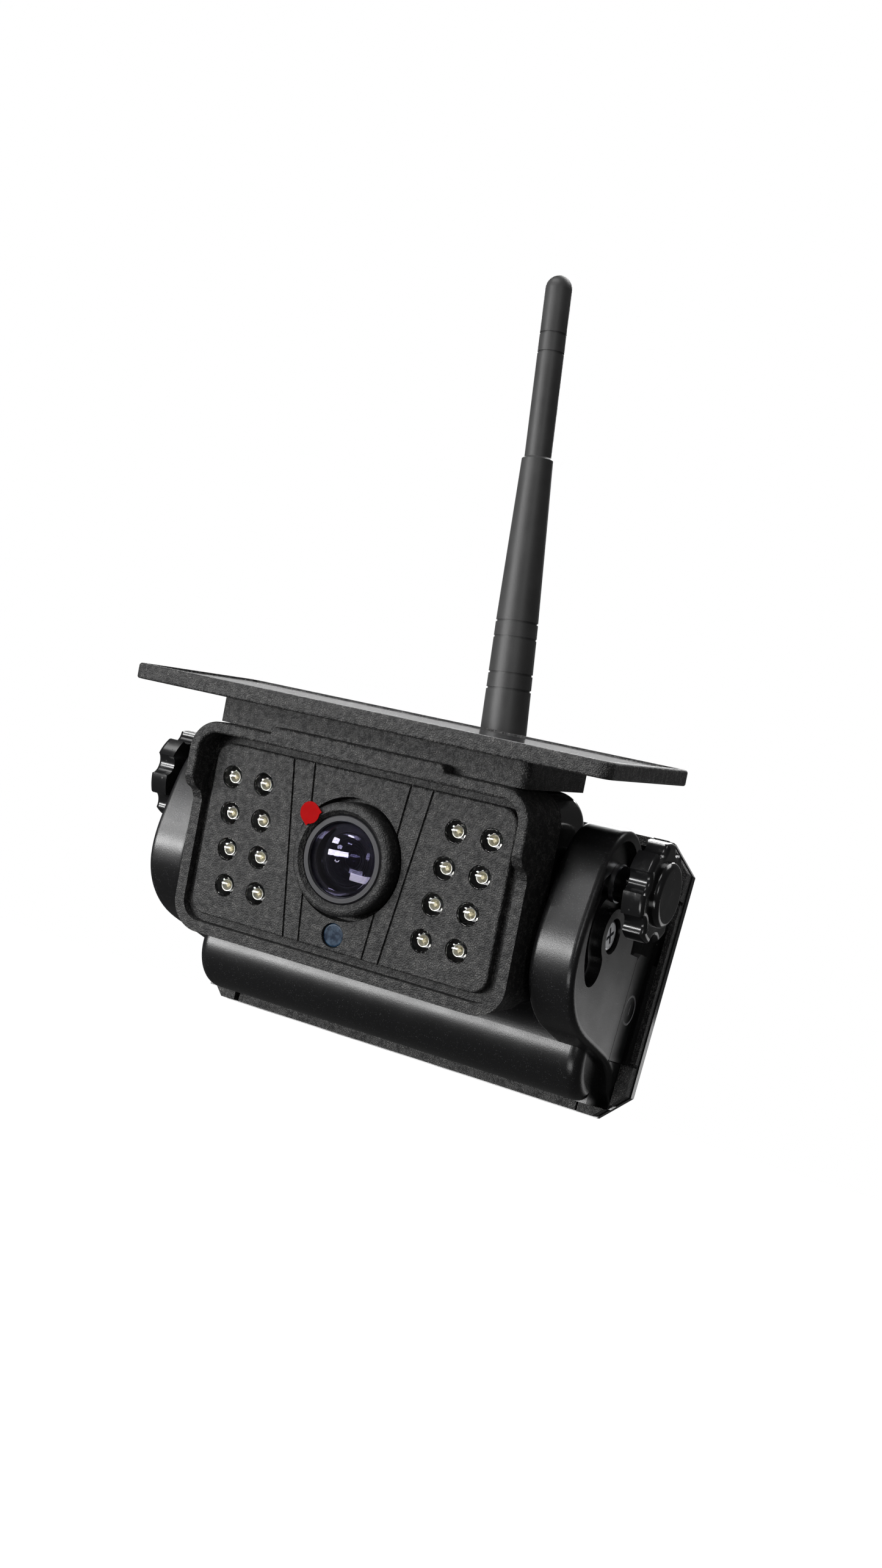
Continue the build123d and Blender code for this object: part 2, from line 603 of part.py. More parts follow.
with BuildPart() as iris:
    with BuildSketch(top_plane(LENS_Z)):
        with BuildLine():
            Polyline((5.55, 1.0), (5.55, 3.4), (1.9, 3.4), (1.9, 3.0), (3.1, 2.6), (3.1, 2.1),
                     (4.3, 1.7), (4.3, 1.2), (5.2, 1.0), close=True)
        make_face()
    revolve(axis=LENS_AXIS)
iris.part.move(HEAD)
iris.part.label = "iris"
export_step(iris.part, "parts/iris.step")

with BuildPart() as inner_lens:
    with BuildSketch(top_plane(LENS_Z)):
        with BuildLine():
            ThreePointArc(*cap_arc(3.5, 5.5, 5.2))
            Line((5.5, 5.2), (5.5, 6.4))
            ThreePointArc(*cap_arc(7.6, 5.5, 6.4))
            Line((0, 7.6), (0, 3.5))
        make_face()
    revolve(axis=LENS_AXIS)
inner_lens.part.move(HEAD)
inner_lens.part.label = "inner_lens"
export_step(inner_lens.part, "parts/inner_lens.step")

# ---------------------------------------------------------------- protective film
# Clear film that still covers the new lens, with a red tab to pull it off by.
FILM_R, FILM_T = 7.4, 0.12
TAB_AT, TAB_R = (-9.1, 8.9), 2.4      # X and Z of the middle of the tab's round end
TAB_TURN, TAB_LENGTH = -42.6, 1.7     # it points at the lens, and is straight for this far

with BuildPart() as lens_film:
    with BuildSketch(top_plane(LENS_Z)):
        with BuildLine():
            inner_arc = ThreePointArc(*cap_arc(-3.95, FILM_R, -1.86))
            outer_arc = ThreePointArc(*cap_arc(-3.95 - FILM_T, FILM_R, -1.86 - FILM_T))
            Line(inner_arc @ 0, outer_arc @ 0)
            Line(inner_arc @ 1, outer_arc @ 1)
        make_face()
    revolve(axis=LENS_AXIS)
lens_film.part.move(HEAD)
lens_film.part.label = "lens_film"
export_step(lens_film.part, "parts/lens_film.step")

with BuildPart() as film_tab:
    with BuildSketch(front_plane(-3.25)):
        with Locations(Location((TAB_AT[0], TAB_AT[1]), TAB_TURN)):
            Circle(TAB_R)
            with Locations((TAB_LENGTH / 2, 0)):
                Rectangle(TAB_LENGTH, 2 * TAB_R)
    extrude(amount=0.2)
film_tab.part.move(HEAD)
film_tab.part.label = "film_tab"
export_step(film_tab.part, "parts/film_tab.step")

# ---------------------------------------------------------------- lamps
# Sixteen clear 5 mm infrared lamps with their reflector cups, on one board.
LED_APEX, LED_BACK = -0.35, 6.9
CUP_R = 1.15

with BuildPart() as led_lamps:
    for x, z in led_centres():
        with BuildSketch(top_plane(z)):
            with BuildLine():
                shoulder = LED_APEX + LED_R
                dome = LED_R * sin(radians(45))
                ThreePointArc((x, LED_APEX), (x + dome, shoulder - dome), (x + LED_R, shoulder))
                Polyline((x + LED_R, shoulder), (x + LED_R, LED_BACK - 1),
                         (x + 2.9, LED_BACK - 1), (x + 2.9, LED_BACK), (x + CUP_R, LED_BACK),
                         (x + CUP_R, 2.4), (x, 2.4), (x, LED_APEX))
            make_face()
        revolve(axis=Axis((x, 0, z), (0, 1, 0)))
led_lamps.part.move(HEAD)
led_lamps.part.label = "led_lamps"
export_step(led_lamps.part, "parts/led_lamps.step")

with BuildPart() as led_cups:
    for x, z in led_centres():
        with BuildSketch(top_plane(z)):
            with BuildLine():
                Polyline((x, 3.1), (x + 0.45, 3.1), (x + 0.95, 2.45), (x + CUP_R - 0.02, 2.45),
                         (x + CUP_R - 0.02, LED_BACK), (x, LED_BACK), close=True)
            make_face()
        revolve(axis=Axis((x, 0, z), (0, 1, 0)))
led_cups.part.move(HEAD)
led_cups.part.label = "led_cups"
export_step(led_cups.part, "parts/led_cups.step")

with BuildPart() as led_board:
    with BuildSketch(front_plane(8.4)):
        with Locations((0, HEAD_MID)):
            Rectangle(77, 40)
        with Locations(corners(SCREW_X + 2.4, SCREW_Z + 2.4, HEAD_MID)):
            Rectangle(10.4, 10.4, mode=Mode.SUBTRACT)
        with Locations((0, LENS_Z)):
            Circle(9.8, mode=Mode.SUBTRACT)
    extrude(amount=1.4)
led_board.part.move(HEAD)
led_board.part.label = "led_board"
export_step(led_board.part, "parts/led_board.step")

with BuildPart() as light_sensor:
    with BuildSketch(front_plane(6.9)):
        with Locations((0, SENSOR_Z)):
            Circle(SENSOR_R)
    extrude(amount=6.4)
    fillet(light_sensor.faces().sort_by(Axis.Y)[0].edges(), 0.4)
light_sensor.part.move(HEAD)
light_sensor.part.label = "light_sensor"
export_step(light_sensor.part, "parts/light_sensor.step")

# ---------------------------------------------------------------- image sensor and boards
with BuildPart() as image_sensor:
    with BuildSketch(front_plane(10.8)):
        with Locations((0, LENS_Z)):
            Rectangle(8.0, 6.4)
    extrude(amount=1.1)
image_sensor.part.move(HEAD)
image_sensor.part.label = "image_sensor"
export_step(image_sensor.part, "parts/image_sensor.step")

with BuildPart() as sensor_board:
    with BuildSketch(front_plane(12.0)):
        with Locations((0, LENS_Z)):
            Rectangle(24, 24)
    extrude(amount=1.2)
sensor_board.part.move(HEAD)
sensor_board.part.label = "sensor_board"
export_step(sensor_board.part, "parts/sensor_board.step")

with BuildPart() as main_board:
    with BuildSketch(front_plane(18.6)):
        with Locations((0, HEAD_MID)):
            Rectangle(60, 36)
    extrude(amount=1.6)
    with BuildSketch(front_plane(17.0)):
        with Locations((-16, 6), (14, -8), (-14, -10)):
            Rectangle(10, 10)
    extrude(amount=1.4)
main_board.part.move(HEAD)
main_board.part.label = "main_board"
export_step(main_board.part, "parts/main_board.step")

with BuildPart() as radio_module:
    with BuildSketch(front_plane(21.2)):
        with Locations((8, 8)):
            RectangleRounded(20, 14, 1)
    extrude(amount=2.6)
radio_module.part.move(HEAD)
radio_module.part.label = "radio_module"
export_step(radio_module.part, "parts/radio_module.step")

# ---------------------------------------------------------------- head gasket and case
# Soft ring between bezel and case, then the rear case with its four corner posts and the
# side bosses for the pivot screws and the clamp studs.
CASE_ROUND = 6.0
POST_R = 3.2
JACK_R = 3.25
JACK_BOSS_R, JACK_BOSS_BACK = 5.4, 30.6

with BuildPart() as head_gasket:
    with BuildSketch(front_plane(CASE_FRONT)):
        with Locations((0, HEAD_MID)):
            RectangleRounded(2 * HEAD_HALF - 1.4, HEAD_TOP - HEAD_BOTTOM - 1.4, HEAD_CORNER - 0.7)
            RectangleRounded(2 * INNER_HALF - 0.2, HEAD_TOP - HEAD_BOTTOM - 5.4, 4.5,
                             mode=Mode.SUBTRACT)
    extrude(amount=CASE_FRONT - BEZEL_BACK)
head_gasket.part.move(HEAD)
head_gasket.part.label = "head_gasket"
export_step(head_gasket.part, "parts/head_gasket.step")

with BuildPart() as head_case:
    with BuildSketch(front_plane(HEAD_BACK)):
        with Locations((0, HEAD_MID)):
            RectangleRounded(2 * CASE_HALF, HEAD_TOP - HEAD_BOTTOM - 0.8, HEAD_CORNER)
    extrude(amount=HEAD_BACK - CASE_FRONT)
    fillet(head_case.faces().sort_by(Axis.Y)[-1].edges(), CASE_ROUND)
    with BuildSketch(front_plane(HEAD_BACK - 2.2)):
        with Locations((0, HEAD_MID)):
            RectangleRounded(2 * (CASE_HALF - 2.2), HEAD_TOP - HEAD_BOTTOM - 5.2, 4.8)
    extrude(amount=HEAD_BACK - 2.2 - CASE_FRONT, taper=4, mode=Mode.SUBTRACT)
    with BuildSketch(front_plane(HEAD_BACK - 1.5)):
        with Locations(corners(SCREW_X, SCREW_Z, HEAD_MID)):
            Circle(POST_R)
    extrude(amount=HEAD_BACK - 1.5 - CASE_FRONT)
    # side bosses behind the pivot and the clamp
    for x in (-CASE_HALF + 0.4, CASE_HALF - 0.4 - 7.0):
        with BuildSketch(side_plane(x)):
            with Locations(PIVOT_H):
                Circle(4.4)
        extrude(amount=7.0)
    for x in (-CASE_HALF + 0.4, CASE_HALF - 0.4 - 3.0):
        with BuildSketch(side_plane(x)):
            with Locations(CLAMP_H):
                Circle(4.4)
        extrude(amount=3.0)
    with BuildSketch(side_plane(-CASE_HALF - 1)):
        with Locations(PIVOT_H):
            Circle(2.0)
        with Locations(CLAMP_H):
            Circle(STUD_R + 0.1)
    extrude(amount=2 * CASE_HALF + 2, mode=Mode.SUBTRACT)
    # corner screw holes with sunk seats
    with BuildSketch(front_plane(HEAD_BACK)):
        with Locations(corners(SCREW_X, SCREW_Z, HEAD_MID)):
            Circle(1.3)
    extrude(amount=HEAD_BACK - CASE_FRONT, mode=Mode.SUBTRACT)
    with BuildSketch(front_plane(HEAD_BACK)):
        with Locations(corners(SCREW_X, SCREW_Z, HEAD_MID)):
            Circle(2.6)
    extrude(amount=4.0, mode=Mode.SUBTRACT)
    # boss and hole for the antenna jack
    with BuildSketch(front_plane(JACK_BOSS_BACK)):
        with Locations((ANT_X, ANT_Z)):
            Circle(JACK_BOSS_R)
    extrude(amount=5.5)
    with BuildSketch(front_plane(JACK_BOSS_BACK)):
        with Locations((ANT_X, ANT_Z)):
            Circle(JACK_R)
    extrude(amount=8.0, mode=Mode.SUBTRACT)
head_case.part.move(HEAD)
head_case.part.label = "head_case"
export_step(head_case.part, "parts/head_case.step")

# ---------------------------------------------------------------- head screws
# Four screws that clamp the case, the gasket and the face plate's bosses together.
with BuildPart() as head_screws:
    with BuildSketch(front_plane(HEAD_BACK - 4.0 + 1.6)):
        with Locations(corners(SCREW_X, SCREW_Z, HEAD_MID)):
            Circle(2.2)
    extrude(amount=1.6)
    with BuildSketch(front_plane(HEAD_BACK - 4.0)):
        with Locations(corners(SCREW_X, SCREW_Z, HEAD_MID)):
            Circle(0.98)
    extrude(amount=18.0)
head_screws.part.move(HEAD)
head_screws.part.label = "head_screws"
export_step(head_screws.part, "parts/head_screws.step")

# ---------------------------------------------------------------- tilt pivot hardware
# A friction washer round each pivot screw and each clamp stud fills the gap between the
# head and the arms.
with BuildPart() as friction_washers:
    for x in (-ARM_IN + 0.05, CASE_HALF + 0.05):
        with BuildSketch(side_plane(x)):
            with Locations(PIVOT_H):
                Circle(5.2)
                Circle(2.15, mode=Mode.SUBTRACT)
            with Locations(CLAMP_H):
                Circle(4.8)
                Circle(STUD_R + 0.15, mode=Mode.SUBTRACT)
        extrude(amount=ARM_IN - CASE_HALF - 0.1)
friction_washers.part.move(HEAD)
friction_washers.part.label = "friction_washers"
export_step(friction_washers.part, "parts/friction_washers.step")

# Zinc-plated screws with cross-recessed pan heads, seated in the arms' round bosses.
PIVOT_SHANK = 18.0

with BuildPart() as pivot_screws:
    for side in (-1, 1):
        seat = side * (ARM_OUT - PIVOT_SEAT)
        with BuildSketch(side_plane(seat)):
            with Locations(PIVOT_H):
                Circle(3.5)
        extrude(amount=side * 1.7)
        fillet(pivot_screws.faces().sort_by(Axis.X)[0 if side < 0 else -1].edges(), 0.7)
        with BuildSketch(side_plane(seat)):
            with Locations(PIVOT_H):
                Circle(1.95)
        extrude(amount=-side * PIVOT_SHANK)
        with BuildSketch(side_plane(seat + side * 1.7)):
            with Locations(PIVOT_H):
                Rectangle(0.75, 3.8, rotation=20)
                Rectangle(3.8, 0.75, rotation=20)
        extrude(amount=-side * 1.1, mode=Mode.SUBTRACT)
pivot_screws.part.move(HEAD)
pivot_screws.part.label = "pivot_screws"
export_step(pivot_screws.part, "parts/pivot_screws.step")

# Hexagon nuts that the clamp studs screw into, held inside the head.
NUT_OUT, NUT_T = CASE_HALF - 3.5, 3.2

with BuildPart() as clamp_nuts:
    for x in (-NUT_OUT, NUT_OUT - NUT_T):
        with BuildSketch(side_plane(x)):
            with Locations(CLAMP_H):
                RegularPolygon(4.0, 6)
                Circle(STUD_R + 0.05, mode=Mode.SUBTRACT)
        extrude(amount=NUT_T)
clamp_nuts.part.move(HEAD)
clamp_nuts.part.label = "clamp_nuts"
export_step(clamp_nuts.part, "parts/clamp_nuts.step")

# ---------------------------------------------------------------- riser
# Low block that carries the solar panel on top of the head.
with BuildPart() as riser:
    with BuildSketch(top_plane(RISER_BOTTOM)):
        with Locations((0, (RISER_FRONT + RISER_BACK) / 2)):
            RectangleRounded(2 * RISER_HALF, RISER_BACK - RISER_FRONT, 2.0)
    extrude(amount=RISER_TOP - RISER_BOTTOM)
    with BuildSketch(top_plane(RISER_BOTTOM)):
        with Locations((0, (RISER_FRONT + RISER_BACK) / 2)):
            RectangleRounded(2 * RISER_HALF - 5, RISER_BACK - RISER_FRONT - 5, 1.0)
            with Locations((-24, 0), (24, 0)):
                Circle(3.4, mode=Mode.SUBTRACT)
    extrude(amount=RISER_TOP - RISER_BOTTOM - 1.6, mode=Mode.SUBTRACT)
    with BuildSketch(top_plane(RISER_BOTTOM)):
        with Locations([(x, (RISER_FRONT + RISER_BACK) / 2) for x in (-24, 24)]):
            Circle(1.1)
    extrude(amount=RISER_TOP - RISER_BOTTOM, mode=Mode.SUBTRACT)
riser.part.move(HEAD)
riser.part.label = "riser"
export_step(riser.part, "parts/riser.step")

# ---------------------------------------------------------------- solar panel
# Grained tray with the cell sunk in its top under a clear cover sheet.
PANEL_MID = (PANEL_FRONT + PANEL_BACK) / 2
PANEL_DEPTH = PANEL_BACK - PANEL_FRONT

with BuildPart() as panel_frame:
    with BuildSketch(top_plane(PANEL_BOTTOM)):
        with Locations((0, PANEL_MID)):
            RectangleRounded(2 * PANEL_HALF, PANEL_DEPTH, 3.0)
    extrude(amount=PANEL_TOP - PANEL_BOTTOM)
    fillet(panel_frame.edges().group_by(Axis.Z)[-1], 0.7)
    fillet(panel_frame.edges().group_by(Axis.Z)[0], 0.5)
    with BuildSketch(top_plane(PANEL_FLOOR)):
        with Locations((0, PANEL_MID)):
            RectangleRounded(2 * (PANEL_HALF - PANEL_RIM), PANEL_DEPTH - 2 * PANEL_RIM, 1.5)
    extrude(amount=PANEL_TOP - PANEL_FLOOR, mode=Mode.SUBTRACT)
    with BuildSketch(top_plane(PANEL_BOTTOM)):
        with Locations([(x, (RISER_FRONT + RISER_BACK) / 2) for x in (-24, 24)]):
            Circle(1.3)
    extrude(amount=PANEL_FLOOR - PANEL_BOTTOM, mode=Mode.SUBTRACT)
    with BuildSketch(top_plane(PANEL_FLOOR - 0.7)):
        with Locations([(x, (RISER_FRONT + RISER_BACK) / 2) for x in (-24, 24)]):
            Circle(2.6)
    extrude(amount=0.7, mode=Mode.SUBTRACT)
panel_frame.part.move(HEAD)
panel_frame.part.label = "panel_frame"
export_step(panel_frame.part, "parts/panel_frame.step")

with BuildPart() as panel_screws:
    with BuildSketch(top_plane(PANEL_FLOOR - 0.7)):
        with Locations([(x, (RISER_FRONT + RISER_BACK) / 2) for x in (-24, 24)]):
            Circle(2.3)
    extrude(amount=0.65)
    with BuildSketch(top_plane(PANEL_FLOOR - 0.7)):
        with Locations([(x, (RISER_FRONT + RISER_BACK) / 2) for x in (-24, 24)]):
            Circle(1.05)
    extrude(amount=-6.0)
panel_screws.part.move(HEAD)
panel_screws.part.label = "panel_screws"
export_step(panel_screws.part, "parts/panel_screws.step")

with BuildPart() as solar_cell:
    with BuildSketch(top_plane(PANEL_FLOOR)):
        with Locations((0, PANEL_MID)):
            Rectangle(2 * (PANEL_HALF - PANEL_RIM) - 1.2, PANEL_DEPTH - 2 * PANEL_RIM - 1.2)
    extrude(amount=0.3)
solar_cell.part.move(HEAD)
solar_cell.part.label = "solar_cell"
export_step(solar_cell.part, "parts/solar_cell.step")

with BuildPart() as panel_glass:
    with BuildSketch(top_plane(PANEL_FLOOR + 0.3)):
        with Locations((0, PANEL_MID)):
            RectangleRounded(2 * (PANEL_HALF - PANEL_RIM) - 0.2,
                             PANEL_DEPTH - 2 * PANEL_RIM - 0.2, 1.4)
    extrude(amount=0.9)
panel_glass.part.move(HEAD)
panel_glass.part.label = "panel_glass"
export_step(panel_glass.part, "parts/panel_glass.step")

# ---------------------------------------------------------------- antenna jack
# Threaded brass jack with a hexagon flange, on the case's rear boss.
JACK_END = 37.0

with BuildPart() as antenna_jack:
    with BuildSketch(front_plane(JACK_BOSS_BACK + 1.5)):
        with Locations((ANT_X, ANT_Z)):
            RegularPolygon(4.6, 6)
    extrude(amount=1.5)
    with BuildSketch(front_plane(JACK_BOSS_BACK)):
        with Locations((ANT_X, ANT_Z)):
            Circle(JACK_R - 0.05)
    extrude(amount=5.0)
    with BuildSketch(front_plane(JACK_END)):
        with Locations((ANT_X, ANT_Z)):
            Circle(3.1)
            Circle(2.3, mode=Mode.SUBTRACT)
    extrude(amount=JACK_END - JACK_BOSS_BACK - 1.5)
    with BuildSketch(front_plane(JACK_END - 0.4)):
        with Locations((ANT_X, ANT_Z)):
            Circle(0.5)
    extrude(amount=JACK_END - 0.4 - JACK_BOSS_BACK - 1.5)
antenna_jack.part.move(HEAD)
antenna_jack.part.label = "antenna_jack"
export_step(antenna_jack.part, "parts/antenna_jack.step")

# ================================================================ antenna
# Drawn in the fold pin's frame: x' along the pin, y' back along the jack, z' up the whip.

# ---------------------------------------------------------------- swivel
# Collar over the jack with a fork that carries the fold pin.
CHEEK_IN, CHEEK_OUT = 2.7, 5.2
COLLAR_FRONT, COLLAR_BACK = -12.6, -5.9
PIN_R = 1.2

with BuildPart() as antenna_swivel:
    with BuildSketch(front_plane(COLLAR_BACK)):
        Circle(4.9)
    extrude(amount=COLLAR_BACK - COLLAR_FRONT)
    with BuildSketch(side_plane(-CHEEK_OUT)):
        Circle(KNUCKLE_R)
        with Locations((COLLAR_BACK / 2 - 0.6, 0)):
            Rectangle(-COLLAR_BACK + 1.2, 2 * 4.3)
    extrude(amount=2 * CHEEK_OUT)
    with BuildSketch(side_plane(-CHEEK_IN)):
        Circle(KNUCKLE_R + 0.1)
        with Locations((1.0, KNUCKLE_R)):
            Rectangle(2 * KNUCKLE_R + 2, 2 * KNUCKLE_R)
        with Locations((3.0, -1.0)):
            Rectangle(6.0, 2 * KNUCKLE_R + 3)
    extrude(amount=2 * CHEEK_IN, mode=Mode.SUBTRACT)
    with BuildSketch(front_plane(COLLAR_FRONT + 5.6)):
        Circle(3.25)
    extrude(amount=5.6, mode=Mode.SUBTRACT)
    with BuildSketch(side_plane(-CHEEK_OUT)):
        Circle(PIN_R)
    extrude(amount=2 * CHEEK_OUT, mode=Mode.SUBTRACT)
antenna_swivel.part.move(ANTENNA)
antenna_swivel.part.label = "antenna_swivel"
export_step(antenna_swivel.part, "parts/antenna_swivel.step")

with BuildPart() as antenna_pin:
    with BuildSketch(side_plane(-CHEEK_OUT)):
        Circle(PIN_R)
    extrude(amount=2 * CHEEK_OUT)
    chamfer(antenna_pin.edges().filter_by(GeomType.CIRCLE), 0.2)
antenna_pin.part.move(ANTENNA)
antenna_pin.part.label = "antenna_pin"
export_step(antenna_pin.part, "parts/antenna_pin.step")

# ---------------------------------------------------------------- whip
# Tapered rubber sleeve with three pairs of fine rings, stepping in to a round-ended tip.
TONGUE = 2.55
SLEEVE = [(4.4, 7.0), (4.4, 15.5), (5.5, 17.0), (5.3, 27.5), (5.0, 43.0), (3.7, 81.7)]
TIP_R, TIP_STEP = 3.15, 82.2
WHIP_RINGS = [(5.3, 27.5), (5.25, 31.2), (5.18, 39.6), (5.0, 43.3)]
TIP_RINGS = [106.2, 110.6]

with BuildPart() as antenna_whip:
    with BuildSketch(Plane.XZ):
        with BuildLine():
            Polyline((0, 7.0), *SLEEVE, (TIP_R, TIP_STEP), (TIP_R, ANT_TIP - TIP_R))
            top = TIP_R * sin(radians(45))
            ThreePointArc((TIP_R, ANT_TIP - TIP_R), (top, ANT_TIP - TIP_R + top), (0, ANT_TIP))
            Line((0, ANT_TIP), (0, 7.0))
        make_face()
    revolve(axis=Axis.Z)
    for radius, z in WHIP_RINGS:
        with BuildSketch(top_plane(z)):
            Circle(6.5)
            Circle(radius - 0.3, mode=Mode.SUBTRACT)
        extrude(amount=0.5, mode=Mode.SUBTRACT)
    for z in TIP_RINGS:
        with BuildSketch(top_plane(z)):
            Circle(6.5)
            Circle(TIP_R - 0.25, mode=Mode.SUBTRACT)
        extrude(amount=0.5, mode=Mode.SUBTRACT)
    # tongue round the fold pin
    with BuildSketch(side_plane(-TONGUE)):
        Circle(4.5)
        with Locations((0, 4.0)):
            Rectangle(7.6, 8.0)
        Circle(PIN_R + 0.05, mode=Mode.SUBTRACT)
    extrude(amount=2 * TONGUE)
antenna_whip.part.move(ANTENNA)
antenna_whip.part.label = "antenna_whip"
export_step(antenna_whip.part, "parts/antenna_whip.step")

# ================================================================ clamp knobs
# Seven-lobed hand knobs with a domed cap, on steel studs that run into the head's nuts.
NOTCH_AT, NOTCH_R = 11.6, 2.6
STUD_END = 36.4
WASHER_IN = ARM_OUT - RECESS_DEPTH + 0.05

for side, name in ((1, "right"), (-1, "left")):
    with BuildPart() as knob:
        with BuildSketch(side_plane(side * KNOB_IN)):
            with Locations(CLAMP_H):
                Circle(KNOB_R)
                with PolarLocations(NOTCH_AT, KNOB_LOBES, start_angle=12):
                    Circle(NOTCH_R, mode=Mode.SUBTRACT)
        extrude(amount=side * (KNOB_RIM - KNOB_IN))
        fillet(knob.edges().filter_by(GeomType.CIRCLE).group_by(Axis.X)[0 if side < 0 else -1], 1.1)
        with BuildSketch(side_plane(side * KNOB_RIM)):
            with Locations(CLAMP_H):
                Circle(7.0)
        extrude(amount=side * (KNOB_CROWN - KNOB_RIM))
        fillet(knob.faces().sort_by(Axis.X)[0 if side < 0 else -1].edges(), 1.2)
        with BuildSketch(side_plane(side * KNOB_IN)):
            with Locations(CLAMP_H):
                Circle(3.9)
        extrude(amount=-side * (KNOB_IN - WASHER_IN - 1.1))
        with BuildSketch(side_plane(side * (WASHER_IN + 1.0))):
            with Locations(CLAMP_H):
                Circle(STUD_R)
        extrude(amount=side * 9.0, mode=Mode.SUBTRACT)
    knob.part.move(HEAD)
    knob.part.label = "knob_" + name
    export_step(knob.part, "parts/knob_" + name + ".step")

    with BuildPart() as stud:
        with BuildSketch(side_plane(side * STUD_END)):
            with Locations(CLAMP_H):
                Circle(STUD_R)
        extrude(amount=side * (WASHER_IN + 1.0 + 8.9 - STUD_END))
    stud.part.move(HEAD)
    stud.part.label = "stud_" + name
    export_step(stud.part, "parts/stud_" + name + ".step")

    with BuildPart() as washer:
        with BuildSketch(side_plane(side * WASHER_IN)):
            with Locations(CLAMP_H):
                Circle(4.2)
                Circle(STUD_R + 0.05, mode=Mode.SUBTRACT)
        extrude(amount=side * 1.0)
    washer.part.move(HEAD)
    washer.part.label = "washer_" + name
    export_step(washer.part, "parts/washer_" + name + ".step")
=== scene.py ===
import math

import bpy
import numpy as np
from mathutils import Matrix, Vector


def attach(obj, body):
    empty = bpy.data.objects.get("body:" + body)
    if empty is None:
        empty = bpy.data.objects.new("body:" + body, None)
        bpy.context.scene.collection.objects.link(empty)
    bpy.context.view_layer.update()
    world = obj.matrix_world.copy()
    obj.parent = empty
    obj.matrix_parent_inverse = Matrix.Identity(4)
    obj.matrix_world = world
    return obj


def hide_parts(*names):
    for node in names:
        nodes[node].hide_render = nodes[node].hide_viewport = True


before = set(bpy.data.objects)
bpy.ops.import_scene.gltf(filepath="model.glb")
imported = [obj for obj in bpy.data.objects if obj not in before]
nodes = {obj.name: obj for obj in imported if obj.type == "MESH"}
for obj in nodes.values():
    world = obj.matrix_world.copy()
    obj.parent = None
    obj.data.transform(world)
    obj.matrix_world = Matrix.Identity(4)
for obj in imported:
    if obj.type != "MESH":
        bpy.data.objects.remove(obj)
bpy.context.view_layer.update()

# ------------------------------------------------------------------ bracket housing
# Front shell of the magnetic bracket, with its two arms, the round battery bulge and the flat
# bay behind the head. Injection-moulded black ABS with a half-gloss finish: tiny pale glints
# painted into its colour as highlights, and a very slight waviness over its broad faces.


class Tone:
    """A shader socket that Python's operators work on: each operator adds one Math node."""

    tree = None

    def __init__(self, socket):
        self.socket = socket

    @staticmethod
    def node(kind, settings=None, **inputs):
        """Any node: its type, its settings, then the value or link of each named socket."""
        made = Tone.tree.nodes.new(kind)
        for key, value in (settings or {}).items():
            if key == "stops":
                ramp = made.color_ramp
                while len(ramp.elements) < len(value):
                    ramp.elements.new(0.5)
                for element, (place, shade) in zip(ramp.elements, value):
                    element.position = place
                    element.color = (*shade, 1.0)
            else:
                setattr(made, key, value)
        for key, value in inputs.items():
            number = key[1:]
            name = int(number) if key[0] == "_" and number.isdigit() else key.replace("_", " ")
            if isinstance(value, Tone):
                Tone.tree.links.new(value.socket, made.inputs[name])
            else:
                made.inputs[name].default_value = value
        return made

    @staticmethod
    def maths(operation, *values):
        """One Math node, its values in order."""
        inputs = {"_%d" % i: v for i, v in enumerate(values)}
        return Tone(Tone.node("ShaderNodeMath", {"operation": operation}, **inputs).outputs[0])

    def __add__(self, other):
        return Tone.maths("ADD", self, other)

    def __radd__(self, other):
        return Tone.maths("ADD", other, self)

    def __sub__(self, other):
        return Tone.maths("SUBTRACT", self, other)

    def __rsub__(self, other):
        return Tone.maths("SUBTRACT", other, self)

    def __mul__(self, other):
        return Tone.maths("MULTIPLY", self, other)

    def __rmul__(self, other):
        return Tone.maths("MULTIPLY", other, self)

    def __truediv__(self, other):
        return Tone.maths("DIVIDE", self, other)

    def __gt__(self, other):
        return Tone.maths("GREATER_THAN", self, other)

    def __lt__(self, other):
        return Tone.maths("LESS_THAN", self, other)

    def sharpen(self, low, high):
        """0 below low, 1 above high, and a smooth climb between."""
        return Tone(Tone.node("ShaderNodeMapRange", {"interpolation_type": "SMOOTHSTEP"},
                              Value=self, From_Min=low, From_Max=high).outputs[0])


def place():
    """Where a point is on the object, in metres, as a socket."""
    return Tone(Tone.node("ShaderNodeTexCoord").outputs["Object"])


def split(point):
    """X, Y and Z of a point."""
    parts = Tone.node("ShaderNodeSeparateXYZ", Vector=point).outputs
    return Tone(parts[0]), Tone(parts[1]), Tone(parts[2])


def cloud(point, size, detail=2.0, rough=0.5):
    """Soft noise from 0 to 1, whose blotches are about size metres across."""
    return Tone(Tone.node("ShaderNodeTexNoise", Vector=point, Scale=1.0 / size, Detail=detail,
                          Roughness=rough).outputs[0])


def pips(point, size, jitter=1.0):
    """Distance to the nearest of many scattered points, size metres apart, in units of size."""
    return Tone(Tone.node("ShaderNodeTexVoronoi", {"feature": "F1"}, Vector=point,
                          Scale=1.0 / size, Randomness=jitter).outputs["Distance"])


def blend_colour(share, low, high):
    """Colour between two colours by a share from 0 to 1."""
    mix = Tone.tree.nodes.new("ShaderNodeMix")
    mix.data_type = "RGBA"
    Tone.tree.links.new(share.socket, mix.inputs[0])
    for socket, value in ((mix.inputs[6], low), (mix.inputs[7], high)):
        if isinstance(value, Tone):
            Tone.tree.links.new(value.socket, socket)
        else:
            socket.default_value = (*value, 1.0)
    return Tone(mix.outputs[2])


def relief(height, depth, normal=None):
    """Bumps: a height from 0 to 1, this many metres deep."""
    inputs = {"Height": height, "Distance": depth, "Strength": 1.0}
    if normal is not None:
        inputs["Normal"] = normal
    return Tone(Tone.node("ShaderNodeBump", **inputs).outputs[0])


